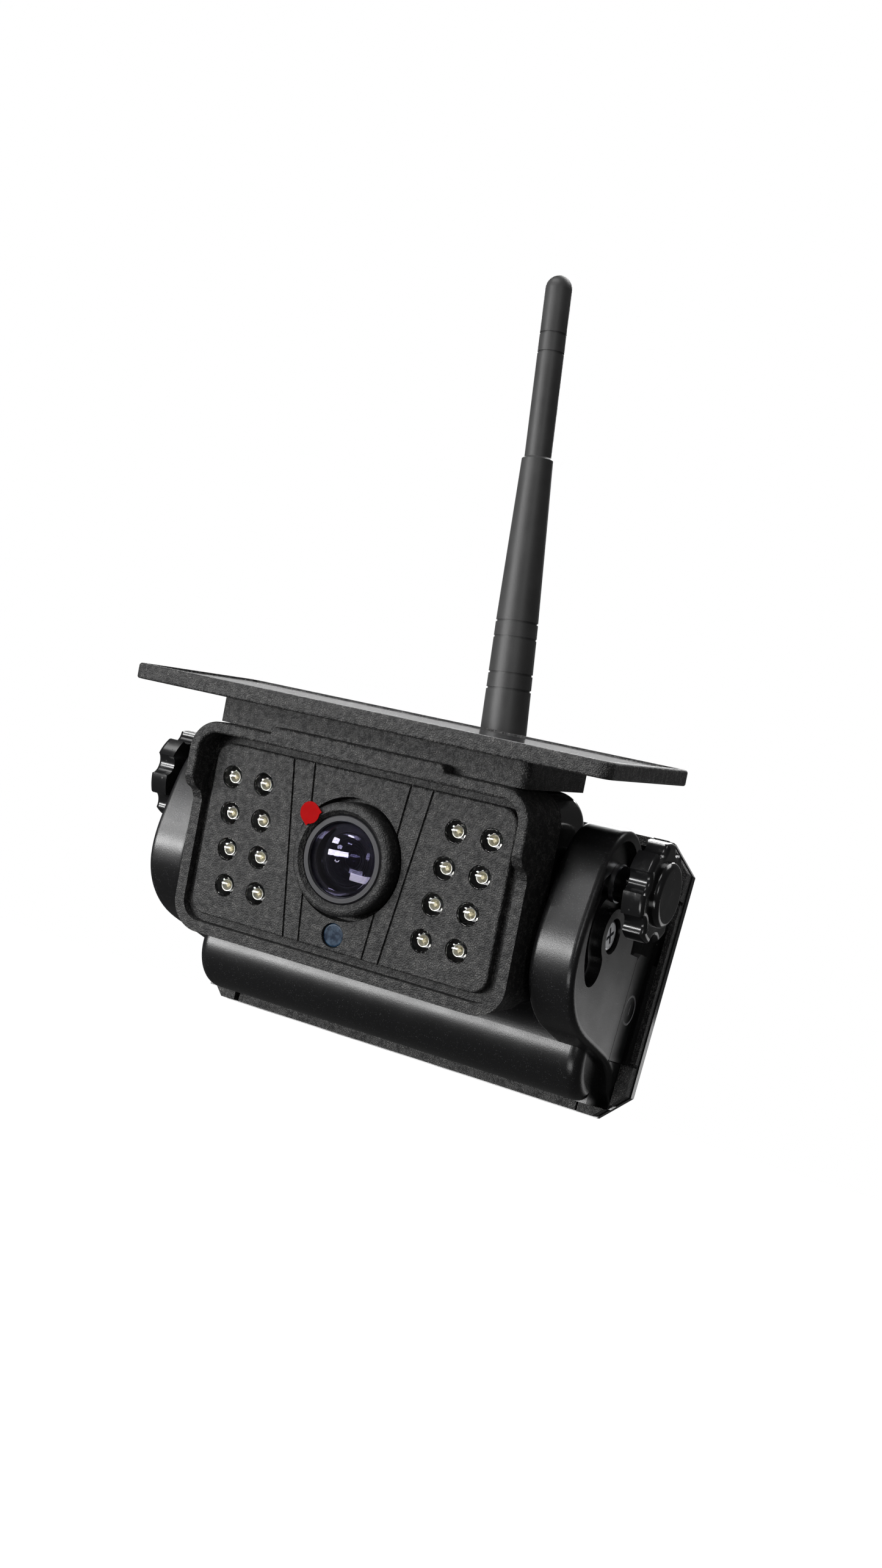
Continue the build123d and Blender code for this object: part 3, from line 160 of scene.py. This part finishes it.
def finish_of(name, **fixed):
    """A new material with its Principled shader's plain numbers set; returns both."""
    material = bpy.data.materials.new(name)
    material.use_nodes = True
    Tone.tree = material.node_tree
    shader = material.node_tree.nodes["Principled BSDF"]
    for key, value in fixed.items():
        socket = shader.inputs[key.replace("_", " ")]
        if not isinstance(value, (int, float)) and len(value) == 3:
            value = (*value, 1.0)
        socket.default_value = value
    return material, shader


def lay(shader, **links):
    """Joins worked-out sockets to the shader's inputs."""
    for key, value in links.items():
        Tone.tree.links.new(value.socket, shader.inputs[key.replace("_", " ")])


def wear(material, *names):
    """Puts one material on CAD nodes that keep their own mesh."""
    for name in names:
        mesh = nodes[name].data
        mesh.materials.clear()
        mesh.materials.append(material)


PAINTED_GLINT_SPACING, MOULD_SKIN = 0.00042, 0.00028


def moulded_black(name, dark, pale, rough, glint_paint, depth):
    """Half-gloss moulding: dark resin, small pale glints painted in as highlights, and a faint
    waviness.
    """
    material, shader = finish_of(name, IOR=1.5)
    at = place()
    # Painted glints: pale specks in the base colour stand in for light caught by the mould's
    # surface; they are also a little glossier and raised.
    painted_glint = (1.0 - pips(at, PAINTED_GLINT_SPACING)).sharpen(0.62, 0.95)
    painted_glint = painted_glint * cloud(at, 0.0011).sharpen(0.4, 0.65)
    wave = cloud(at, 0.011, 1.0)
    fine = cloud(at, MOULD_SKIN, 1.0)
    lay(shader,
        Base_Color=blend_colour(painted_glint * glint_paint, dark, pale),
        Roughness=rough + 0.10 * cloud(at, 0.006) - 0.06 * painted_glint,
        Normal=relief(fine + 0.5 * painted_glint, depth, relief(wave, 0.00012)))
    return material


wear(moulded_black("housing_black", (0.0075, 0.0075, 0.008), (0.09, 0.09, 0.095), 0.27, 0.55,
                   0.000012), "base_housing")

# ------------------------------------------------------------------ rear shell
# The bracket's back plate, polished in the mould: bevelled rim, glossy black.
# Fine dust and faint rubbing marks break its shine. The head's rear case is the same resin.


def polished_black(name, rough=0.11):
    """Gloss black with hair-fine rubbing marks and faint dust."""
    material, shader = finish_of(name, IOR=1.5)
    at = place()
    rubbed = cloud(at, 0.004, 6.0, 0.7)
    dust = (1.0 - pips(at, 0.0021)).sharpen(0.86, 0.97)
    lay(shader,
        Base_Color=blend_colour(dust * 0.5 + rubbed * 0.06, (0.0065, 0.0065, 0.007),
                                (0.085, 0.085, 0.085)),
        Roughness=rough + 0.16 * rubbed.sharpen(0.45, 0.8) + 0.3 * dust,
        Normal=relief(cloud(at, 0.013, 1.0), 0.0001))
    return material


wear(polished_black("shell_black"), "rear_cover", "head_case")

# ------------------------------------------------------------------ pad and magnets
# A die-cut sheet of soft rubber over the four disc magnets keeps the back from scratching
# paint. The magnets are nickel-plated; the cover's screws are zinc-plated.


def soft_rubber(name, grey, rough, grain):
    """Matt rubber: even grey, a cloudy bloom and a fine skin."""
    material, shader = finish_of(name, IOR=1.45, Specular_IOR_Level=0.35)
    at = place()
    bloom = cloud(at, 0.007, 4.0)
    lay(shader,
        Base_Color=blend_colour(bloom, (grey * 0.7,) * 3, (grey * 1.35,) * 3),
        Roughness=rough + 0.14 * bloom,
        Normal=relief(cloud(at, grain, 2.0), grain * 0.08))
    return material


def plated(name, colour, rough):
    """Bright plating over steel: fine scratches and slight tarnish."""
    material, shader = finish_of(name, Metallic=1.0)
    at = place()
    scratch = cloud(at, 0.0008, 5.0, 0.75)
    stain = cloud(at, 0.003, 3.0)
    lay(shader,
        Base_Color=blend_colour(stain, tuple(0.72 * c for c in colour), colour),
        Roughness=rough + 0.22 * scratch,
        Normal=relief(scratch, 0.00002))
    return material


wear(soft_rubber("pad_rubber", 0.03, 0.62, 0.0004), "back_pad", "head_gasket")
nickel = plated("nickel_plate", (0.62, 0.6, 0.56), 0.2)
zinc = plated("zinc_plate", (0.66, 0.67, 0.69), 0.22)
wear(nickel, "magnets", "battery_tabs", "charge_socket", "radio_module")
wear(zinc, "rear_screws", "head_screws", "panel_screws", "clamp_nuts", "pivot_screws",
     "stud_left", "stud_right", "washer_left", "washer_right", "antenna_pin")

# ------------------------------------------------------------------ battery and boards
# Inside the bracket and the head: a lithium cell in blue shrink sleeve, and circuit boards
# whose copper tracks just show under the lacquer, green on most, black behind the lamps.
sleeve, shader = finish_of("cell_sleeve", IOR=1.5)
at = place()
crease = cloud(at, 0.003, 3.0)
lay(shader, Base_Color=blend_colour(crease, (0.02, 0.09, 0.28), (0.035, 0.14, 0.4)),
    Roughness=0.25 + 0.15 * crease, Normal=relief(crease, 0.00005))
wear(sleeve, "battery_cell")

TRACK_SPACING, TRACK_JITTER, TRACKS_EACH = 0.004, 0.35, 6.0


def lacquered_board(name, bare, copper, rough):
    """Copper tracks under lacquer: rings round scattered points, cut into even bands."""
    material, shader = finish_of(name, IOR=1.5)
    rings = pips(place(), TRACK_SPACING, TRACK_JITTER) * TRACKS_EACH
    track = Tone.maths("FRACT", rings).sharpen(0.42, 0.5)
    lay(shader, Base_Color=blend_colour(track, bare, copper),
        Roughness=rough + 0.1 * track, Normal=relief(track, 0.00004))
    return material


wear(lacquered_board("board_lacquer", (0.006, 0.045, 0.018), (0.02, 0.10, 0.04), 0.32),
     "charge_board", "port_board", "sensor_board", "main_board")
wear(lacquered_board("black_mask", (0.006, 0.006, 0.007), (0.02, 0.02, 0.022), 0.4),
     "led_board")

# ------------------------------------------------------------------ grained mouldings
# Trim frame, head bezel, lamp plate, lens ring, riser and solar tray: black ABS from a
# spark-eroded mould, so a close pebble grain about a third of a millimetre across,
# matt in its hollows and shinier on its tops, with pale specks painted on some tops as highlights.
GRAIN_SPACING = 0.00036


def grained_black(name, dark, pale, depth):
    """Pebble grain: round tops from scattered points; pale specks painted on some tops as
    highlights, where one cloud allows, and uneven tone from a broad cloud.
    """
    material, shader = finish_of(name, IOR=1.48)
    at = place()
    tops = (1.0 - pips(at, GRAIN_SPACING)).sharpen(0.25, 0.85)
    patch = cloud(at, 0.0013, 2.0)
    broad = cloud(at, 0.012, 2.0)
    # Painted highlights: pale specks on the grain tops stand in for light caught by the grain;
    # they are also glossier.
    painted_sparkle = tops * patch.sharpen(0.35, 0.7)
    lay(shader,
        Base_Color=blend_colour(painted_sparkle * 0.9 + broad * 0.1, dark, pale),
        Roughness=0.56 - 0.18 * painted_sparkle + 0.08 * broad,
        Normal=relief(tops, depth))
    return material


wear(grained_black("grained_black", (0.006, 0.006, 0.0065), (0.090, 0.088, 0.085), 0.00010),
     "trim_frame", "front_bezel", "face_plate", "riser", "panel_frame")
wear(grained_black("ring_grain", (0.004, 0.004, 0.0045), (0.07, 0.069, 0.067), 0.00008),
     "lens_ring")

# ------------------------------------------------------------------ port flap and button
# Soft cover over the charging socket, with a moulded ring, and the round power button
# under it. The flap is smooth rubber, the button a small satin moulding.
flap_skin, shader = finish_of("flap_skin", IOR=1.48)
at = place()
_, y, z = split(at)
RING_AT, RING_R, RING_HALF_WIDTH = (-0.0109, -0.0075), 0.0032, 0.00024
TICK_HALF_WIDTH, TICK_HALF_HEIGHT = 0.0002, 0.0012
across, above = y - RING_AT[0], z - RING_AT[1]
reach = Tone.maths("SQRT", across * across + above * above)
ring = Tone.maths("ABSOLUTE", reach - RING_R) < RING_HALF_WIDTH
tick = ((Tone.maths("ABSOLUTE", across) < TICK_HALF_WIDTH)
        * (Tone.maths("ABSOLUTE", above) < TICK_HALF_HEIGHT))
mark = Tone.maths("MAXIMUM", ring, tick)
bloom = cloud(at, 0.004, 3.0)
lay(shader,
    Base_Color=blend_colour(mark * 0.8 + bloom * 0.05, (0.0075, 0.0075, 0.008),
                            (0.42, 0.42, 0.43)),
    Roughness=0.26 + 0.12 * bloom + 0.25 * mark,
    Normal=relief(cloud(at, MOULD_SKIN, 1.0), 0.00001, relief(cloud(at, 0.009, 1.0), 0.0001)))
wear(flap_skin, "port_flap")
wear(moulded_black("button_black", (0.012, 0.012, 0.012), (0.1, 0.1, 0.1), 0.35, 0.4, 0.00001),
     "power_button")
wear(soft_rubber("washer_fibre", 0.045, 0.6, 0.0002), "friction_washers")

# ------------------------------------------------------------------ lens barrel and lenses
# A dark anodised barrel, turned on a lathe, holds a coated glass dome, a stepped black
# iris and a second glass in front of the image sensor.
HEAD_TILT = math.radians(12.9)
PIVOT = np.array((0.0, -0.034, 0.0057))
PIVOT_IN_HEAD = np.array((0.0, 21.7, -3.95))
LENS_Z = 0.6
BARREL_MOUTH, LATHE_WAVES, IRIS_STEP = 0.00805, 26000.0, 0.00065


def head_points(points):
    """Points in the level head frame, in millimetres, one per row, as they stand in the object.

    The step from the tilt pivot turns about X by the head's resting angle:
    y' = y cos a - z sin a and z' = y sin a + z cos a.
    """
    c, s = math.cos(HEAD_TILT), math.sin(HEAD_TILT)
    step = (np.asarray(points, float) - PIVOT_IN_HEAD) / 1000
    swung = np.stack([step[..., 0], c * step[..., 1] - s * step[..., 2],
                      s * step[..., 1] + c * step[..., 2]], -1)
    return swung + PIVOT


def lens_reach():
    """Distance from the lens axis, as a socket, in metres.

    It is the root of x squared plus u squared, where u = (z - z0) cos a - (y - y0) sin a is
    the height above the axis through the lens at (0, y0, z0).
    """
    c, s = math.cos(HEAD_TILT), math.sin(HEAD_TILT)
    lens = head_points([(0, 0, LENS_Z)])[0]
    x, y, z = split(place())
    above = (z - lens[2]) * c - (y - lens[1]) * s
    return Tone.maths("SQRT", x * x + above * above)


turned, shader = finish_of("turned_aluminium", IOR=1.45)
reach = lens_reach()
rim = reach > BARREL_MOUTH
lathe = cloud(place(), 0.0004, 3.0, 0.7)
rings = Tone.maths("SINE", reach * LATHE_WAVES) * 0.5 + 0.5
lay(shader, Base_Color=blend_colour(rim * (0.4 + 0.6 * lathe), (0.003, 0.003, 0.0035),
                                    (0.022, 0.022, 0.025)),
    Metallic=rim * 0.4, Roughness=0.34 + 0.2 * lathe, Normal=relief(rings, 0.00001))
wear(turned, "lens_barrel")

flat_black, shader = finish_of("flat_black", IOR=1.4, Specular_IOR_Level=0.25)
# Painted shade: each step ring is darker along its inner edge, at the foot of its rise.
steps = Tone.maths("FRACT", lens_reach() / IRIS_STEP).sharpen(0.0, 0.35)
lay(shader, Base_Color=blend_colour(steps, (0.0015, 0.0015, 0.0018), (0.007, 0.007, 0.008)),
    Roughness=0.42 + 0.2 * steps, Normal=relief(steps, 0.0001))
wear(flat_black, "iris", "image_sensor")


def coated_glass(name, index):
    """Optical glass with a violet anti-reflection coating and the faintest handling marks."""
    material, shader = finish_of(name, IOR=index, Transmission_Weight=1.0,
                                 Specular_Tint=(0.74, 0.68, 1.0))
    at = place()
    lay(shader, Base_Color=blend_colour(cloud(at, 0.006), (0.50, 0.51, 0.62), (0.6, 0.6, 0.72)),
        Roughness=0.003 + 0.015 * cloud(at, 0.002, 4.0).sharpen(0.6, 0.9))
    return material


wear(coated_glass("front_glass", 1.62), "front_lens")
wear(coated_glass("inner_glass", 1.36), "inner_lens")

film, shader = finish_of("clear_film", IOR=1.2, Transmission_Weight=1.0)
at = place()
lay(shader, Base_Color=blend_colour(cloud(at, 0.004), (0.97, 0.97, 0.98), (1.0, 1.0, 1.0)),
    Roughness=0.004 + 0.03 * cloud(at, 0.003, 3.0).sharpen(0.55, 0.8),
    Normal=relief(cloud(at, 0.005, 2.0), 0.00003))
wear(film, "lens_film")

red, shader = finish_of("red_film", IOR=1.4, Specular_IOR_Level=0.03)
at = place()
lay(shader, Base_Color=blend_colour(cloud(at, 0.002), (0.26, 0.0004, 0.0010),
                                    (0.34, 0.0008, 0.0016)),
    Roughness=0.38 + 0.1 * cloud(at, 0.001), Normal=relief(cloud(at, 0.002), 0.00006))
wear(red, "film_tab")

# ------------------------------------------------------------------ infrared lamps
# Sixteen clear epoxy lamps, 5 mm across, cast round a stamped frame: one leg ends in a
# bright cup with a small yellowish die in it, the other in a plain post beside it.
ROWS, PITCH, TOP_Z, OUTER_X, INNER_X, DRIFT = 4, 8.0, 12.0, 32.7, 24.3, -1.03
row = np.arange(ROWS)
lamp_z = TOP_Z - PITCH * row
lamp_centres = np.array([(side * (start + DRIFT * n), z) for n, z in zip(row, lamp_z)
                         for start in (OUTER_X, INNER_X) for side in (-1, 1)])


def turned_form(profile, centres, steps):
    """Closed forms turned about axes that run along Y, one for each centre.

    The profile is (radius, y) from a point on the axis to another on the axis. Each point is
    (cx + r cos a, y, cz + r sin a) for every profile point and every angle a, and one
    vertex closes each end. Returns points in the head frame and faces by vertex number.
    """
    profile, centres = np.asarray(profile, float), np.asarray(centres, float)
    angle = np.linspace(0, 2 * np.pi, steps, endpoint=False)
    inner = profile[1:-1]
    radius, depth = inner[:, 0][:, None], inner[:, 1][:, None] + 0 * angle
    ring = np.stack([radius * np.cos(angle), depth, radius * np.sin(angle)], -1).reshape(-1, 3)
    ends = np.array([(0, profile[0, 1], 0), (0, profile[-1, 1], 0)])
    one = np.vstack([ring, ends])
    shift = np.stack([centres[:, 0], 0 * centres[:, 0], centres[:, 1]], -1)
    points = (one[None] + shift[:, None]).reshape(-1, 3)
    count, rings = len(one), len(inner)
    i, j = np.meshgrid(np.arange(rings - 1), np.arange(steps), indexing="ij")
    quad = np.stack([i * steps + j, i * steps + (j + 1) % steps,
                     (i + 1) * steps + (j + 1) % steps, (i + 1) * steps + j], -1).reshape(-1, 4)
    k = np.arange(steps)
    first = np.stack([np.full(steps, count - 2), (k + 1) % steps, k], -1)
    base = (rings - 1) * steps
    last = np.stack([np.full(steps, count - 1), base + k, base + (k + 1) % steps], -1)
    faces = []
    for block in (quad, first, last):
        lifted = block[None] + (np.arange(len(centres)) * count)[:, None, None]
        faces += lifted.reshape(-1, block.shape[1]).tolist()
    return points, faces


def make_piece(name, points, faces, material, body, crease=35):
    """A mesh piece from points in metres, its faces turned outwards by its signed volume."""
    points = np.asarray(points, float)
    a = points[[f[0] for f in faces]]
    b = points[[f[1] for f in faces]]
    c = points[[f[2] for f in faces]]
    d = points[[f[-1] for f in faces]]
    volume = (a * (np.cross(b, c) + np.cross(c, d))).sum()
    if volume < 0:
        faces = [f[::-1] for f in faces]
    mesh = bpy.data.meshes.new(name)
    mesh.from_pydata(points.tolist(), [], faces)
    mesh.polygons.foreach_set("use_smooth", np.ones(len(faces), bool))
    mesh.set_sharp_from_angle(angle=math.radians(crease))
    mesh.materials.append(material)
    piece = bpy.data.objects.new(name, mesh)
    bpy.context.scene.collection.objects.link(piece)
    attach(piece, body)
    return piece


epoxy, shader = finish_of("lamp_epoxy", IOR=1.53, Transmission_Weight=1.0)
at = place()
lay(shader, Base_Color=blend_colour(cloud(at, 0.002), (0.86, 0.87, 0.86), (0.93, 0.93, 0.92)),
    Roughness=0.004 + 0.02 * cloud(at, 0.001))
DOME_RADIUS, DOME_EDGE, DOME_FRONT = 4.2, 2.3, -0.35
BODY_R, FLANGE_R, FLANGE_FRONT, LAMP_BACK = 2.5, 2.85, 5.95, 6.85
out = np.linspace(0, DOME_EDGE, 12)
dome_y = DOME_FRONT + DOME_RADIUS - np.sqrt(DOME_RADIUS ** 2 - out ** 2)
lamp_profile = np.vstack([np.stack([out, dome_y], -1),
                          [(2.34, 0.30), (2.38, 0.18), (2.44, 0.14), (2.49, 0.2),
                           (BODY_R, 0.3), (BODY_R, 5.9), (FLANGE_R, FLANGE_FRONT),
                           (FLANGE_R, LAMP_BACK), (0, LAMP_BACK)]])
points, faces = turned_form(lamp_profile, lamp_centres, 32)
lamps = make_piece("lamp_lenses", head_points(points), faces, epoxy, "head")
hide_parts("led_lamps")

stamped, shader = finish_of("stamped_frame", Metallic=1.0)
at = place()
lay(shader, Base_Color=blend_colour(cloud(at, 0.0005), (0.45, 0.45, 0.43), (0.80, 0.79, 0.75)),
    Roughness=0.22 + 0.25 * cloud(at, 0.0003))
LEG_END = 6.8
cup_profile = [(0, 2.3), (0.4, 2.3), (0.5, 2.24), (1.0, 1.55), (1.12, 1.55), (1.12, 1.9),
               (0.6, 3.4), (0.4, 3.6), (0.4, LEG_END), (0, LEG_END)]
points, faces = turned_form(cup_profile, lamp_centres, 20)
cups = make_piece("lamp_cups", head_points(points), faces, stamped, "head")
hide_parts("led_cups")
POST_BESIDE = (1.55, -0.6)
post_profile = [(0, 1.7), (0.32, 1.7), (0.38, 1.8), (0.38, LEG_END), (0, LEG_END)]
points, faces = turned_form(post_profile, lamp_centres + POST_BESIDE, 10)
posts = make_piece("lamp_posts", head_points(points), faces, stamped, "head")

die, shader = finish_of("lamp_die", IOR=1.6)
at = place()
lay(shader, Base_Color=blend_colour(cloud(at, 0.0002), (0.85, 0.72, 0.36), (0.98, 0.92, 0.7)),
    Roughness=0.3 + 0.1 * cloud(at, 0.0002))
die_profile = [(0, 1.85), (0.36, 1.85), (0.4, 1.9), (0.4, 2.29), (0, 2.29)]
points, faces = turned_form(die_profile, lamp_centres, 4)
dies = make_piece("lamp_dies", head_points(points), faces, die, "head", 20)

# ------------------------------------------------------------------ light sensor
# A photocell behind a deep blue plastic filter, pressed into the lamp plate just under the
# lens. It switches the lamps on at dusk.
blue, shader = finish_of("sensor_blue", IOR=1.5, Specular_IOR_Level=0.25)
at = place()
haze = cloud(at, 0.0012, 3.0).sharpen(0.3, 0.75)
lay(shader, Base_Color=blend_colour(haze, (0.004, 0.011, 0.026), (0.02, 0.05, 0.09)),
    Roughness=0.22 + 0.15 * haze)
wear(blue, "light_sensor")

# ------------------------------------------------------------------ solar panel
# A dark silicon cell with thin silver busbars across it and finer fingers between them,
# under a clear cover sheet that is glued into the tray.
BAR_PITCH, BAR_SHARE, FINGER_PITCH, FINGER_SHARE, PATTERN_START = 0.0125, 0.06, 0.0012, 0.14, 0.2
silicon, shader = finish_of("silicon", IOR=1.8)
x, y, _ = split(place())
bar = Tone.maths("FRACT", (x + PATTERN_START) / BAR_PITCH) < BAR_SHARE
finger = Tone.maths("FRACT", (y + PATTERN_START) / FINGER_PITCH) < FINGER_SHARE
lay(shader, Base_Color=blend_colour(Tone.maths("MAXIMUM", bar, finger * 0.35),
                                    (0.006, 0.007, 0.014), (0.3, 0.3, 0.32)),
    Roughness=0.3 + 0.1 * cloud(place(), 0.002))
wear(silicon, "solar_cell")
cover, shader = finish_of("cover_sheet", IOR=1.5, Transmission_Weight=1.0)
at = place()
lay(shader, Base_Color=blend_colour(cloud(at, 0.01), (0.9, 0.9, 0.91), (0.97, 0.97, 0.98)),
    Roughness=0.06 + 0.1 * cloud(at, 0.004, 4.0).sharpen(0.4, 0.8))
wear(cover, "panel_glass")

# ------------------------------------------------------------------ antenna
# A gold-plated threaded jack in the rear case, a moulded swivel that turns on it, and a
# whip in a soft black skin that folds on a steel pin.
wear(plated("jack_gold", (0.8, 0.58, 0.24), 0.18), "antenna_jack")
wear(moulded_black("swivel_black", (0.009, 0.009, 0.01), (0.08, 0.08, 0.085), 0.33, 0.5, 0.000012),
     "antenna_swivel")
wear(soft_rubber("whip_skin", 0.045, 0.36, 0.0002), "antenna_whip")

# ------------------------------------------------------------------ clamp knobs
# Lobed hand knobs of glossy black plastic, moulded over zinc-plated studs, one outside
# each arm. They clamp the head's tilt.
wear(polished_black("knob_black", 0.17), "knob_left", "knob_right")

# ------------------------------------------------------------------ studio
# A plain pale floor under the bracket, soft boxes round it, and the camera. Long low boxes
# in front draw the bands of light along the bulge and the arms.
FLOOR_HALF, FLOOR_Z = 6, -0.24
floor_mesh = bpy.data.meshes.new("floor")
floor_mesh.from_pydata([(u * FLOOR_HALF, v * FLOOR_HALF, FLOOR_Z)
                        for u, v in ((-1, -1), (1, -1), (1, 1), (-1, 1))], [], [(0, 1, 2, 3)])
floor = bpy.data.objects.new("floor", floor_mesh)
bpy.context.scene.collection.objects.link(floor)
pale, shader = finish_of("pale_floor", Roughness=0.9, Specular_IOR_Level=0.0)
at = place()
wash = blend_colour(cloud(at, 0.5), (0.955, 0.955, 0.955), (0.99, 0.99, 0.99))
lay(shader, Base_Color=wash, Emission_Color=wash)
shader.inputs["Emission Strength"].default_value = 1.0
floor_mesh.materials.append(pale)
floor.visible_glossy = False
floor.visible_diffuse = False
floor.visible_transmission = False

world = bpy.data.worlds.new("studio")
bpy.context.scene.world = world
world.use_nodes = True
Tone.tree = world.node_tree
FILL = 0.07
back = world.node_tree.nodes["Background"]
seen = Tone(Tone.node("ShaderNodeLightPath").outputs["Is Camera Ray"])
sky = Tone.node("ShaderNodeBackground", Color=(1, 1, 1, 1), Strength=1.0)
back.inputs["Color"].default_value = (1, 1, 1, 1)
back.inputs["Strength"].default_value = FILL
chosen = Tone.node("ShaderNodeMixShader", _0=seen, _1=Tone(back.outputs[0]),
                   _2=Tone(sky.outputs[0]))
world.node_tree.links.new(chosen.outputs[0], world.node_tree.nodes["World Output"].inputs[0])


AIM = (0.0, -0.03, 0.03)


def soft_box(name, at, size, power):
    """A rectangular lamp at a point, facing the middle of the object."""
    lamp = bpy.data.lights.new(name, "AREA")
    lamp.shape = "RECTANGLE"
    lamp.size, lamp.size_y = size
    lamp.energy = power
    holder = bpy.data.objects.new(name, lamp)
    aim = (Vector(AIM) - Vector(at)).to_track_quat("-Z", "Y")
    holder.matrix_world = Matrix.Translation(at) @ aim.to_matrix().to_4x4()
    holder.visible_camera = False
    bpy.context.scene.collection.objects.link(holder)


soft_box("key", (-0.30, -0.60, 0.78), (0.85, 0.40), 5.6)
soft_box("front", (-0.30, -0.98, 0.42), (0.22, 0.05), 0.9)
soft_box("front_left", (-0.68, -0.80, 0.17), (0.24, 0.14), 2.6)
soft_box("front_low", (-0.48, -0.84, -0.13), (0.7, 0.13), 8.5)
soft_box("right", (0.62, -0.80, 0.10), (0.14, 0.30), 0.9)
soft_box("overhead", (0.1, 0.30, 0.85), (0.7, 0.4), 5.0)
soft_box("back_left", (-0.55, 1.0, 0.42), (1.2, 0.7), 1.05)
soft_box("back_right", (0.62, 1.0, -0.17), (0.7, 0.40), 1.2)
soft_box("low", (0.16, -0.50, -0.46), (0.40, 0.16), 1.3)
soft_box("rear", (-0.40, 0.85, 0.72), (0.7, 0.35), 9.0)

LONG_SIDE_MM, FOCAL_MM, NEAREST = 36.0, 36.8, 0.01
CAMERA_AT = (0.17056, -0.35376, -0.01851)
lens = bpy.data.cameras.new("camera")
lens.sensor_width = LONG_SIDE_MM
lens.lens = FOCAL_MM
lens.clip_start = NEAREST
camera = bpy.data.objects.new("camera", lens)
right = Vector((0.86714, 0.40603, 0.28846))
up = Vector((-0.20073, -0.24514, 0.94848))
forward = Vector((-0.45582, 0.88037, 0.13106))
turn = Matrix((right, up, -forward)).transposed()
camera.matrix_world = Matrix.Translation(CAMERA_AT) @ turn.to_4x4()
bpy.context.scene.collection.objects.link(camera)
bpy.context.scene.camera = camera
bpy.context.scene.view_settings.view_transform = "Standard"
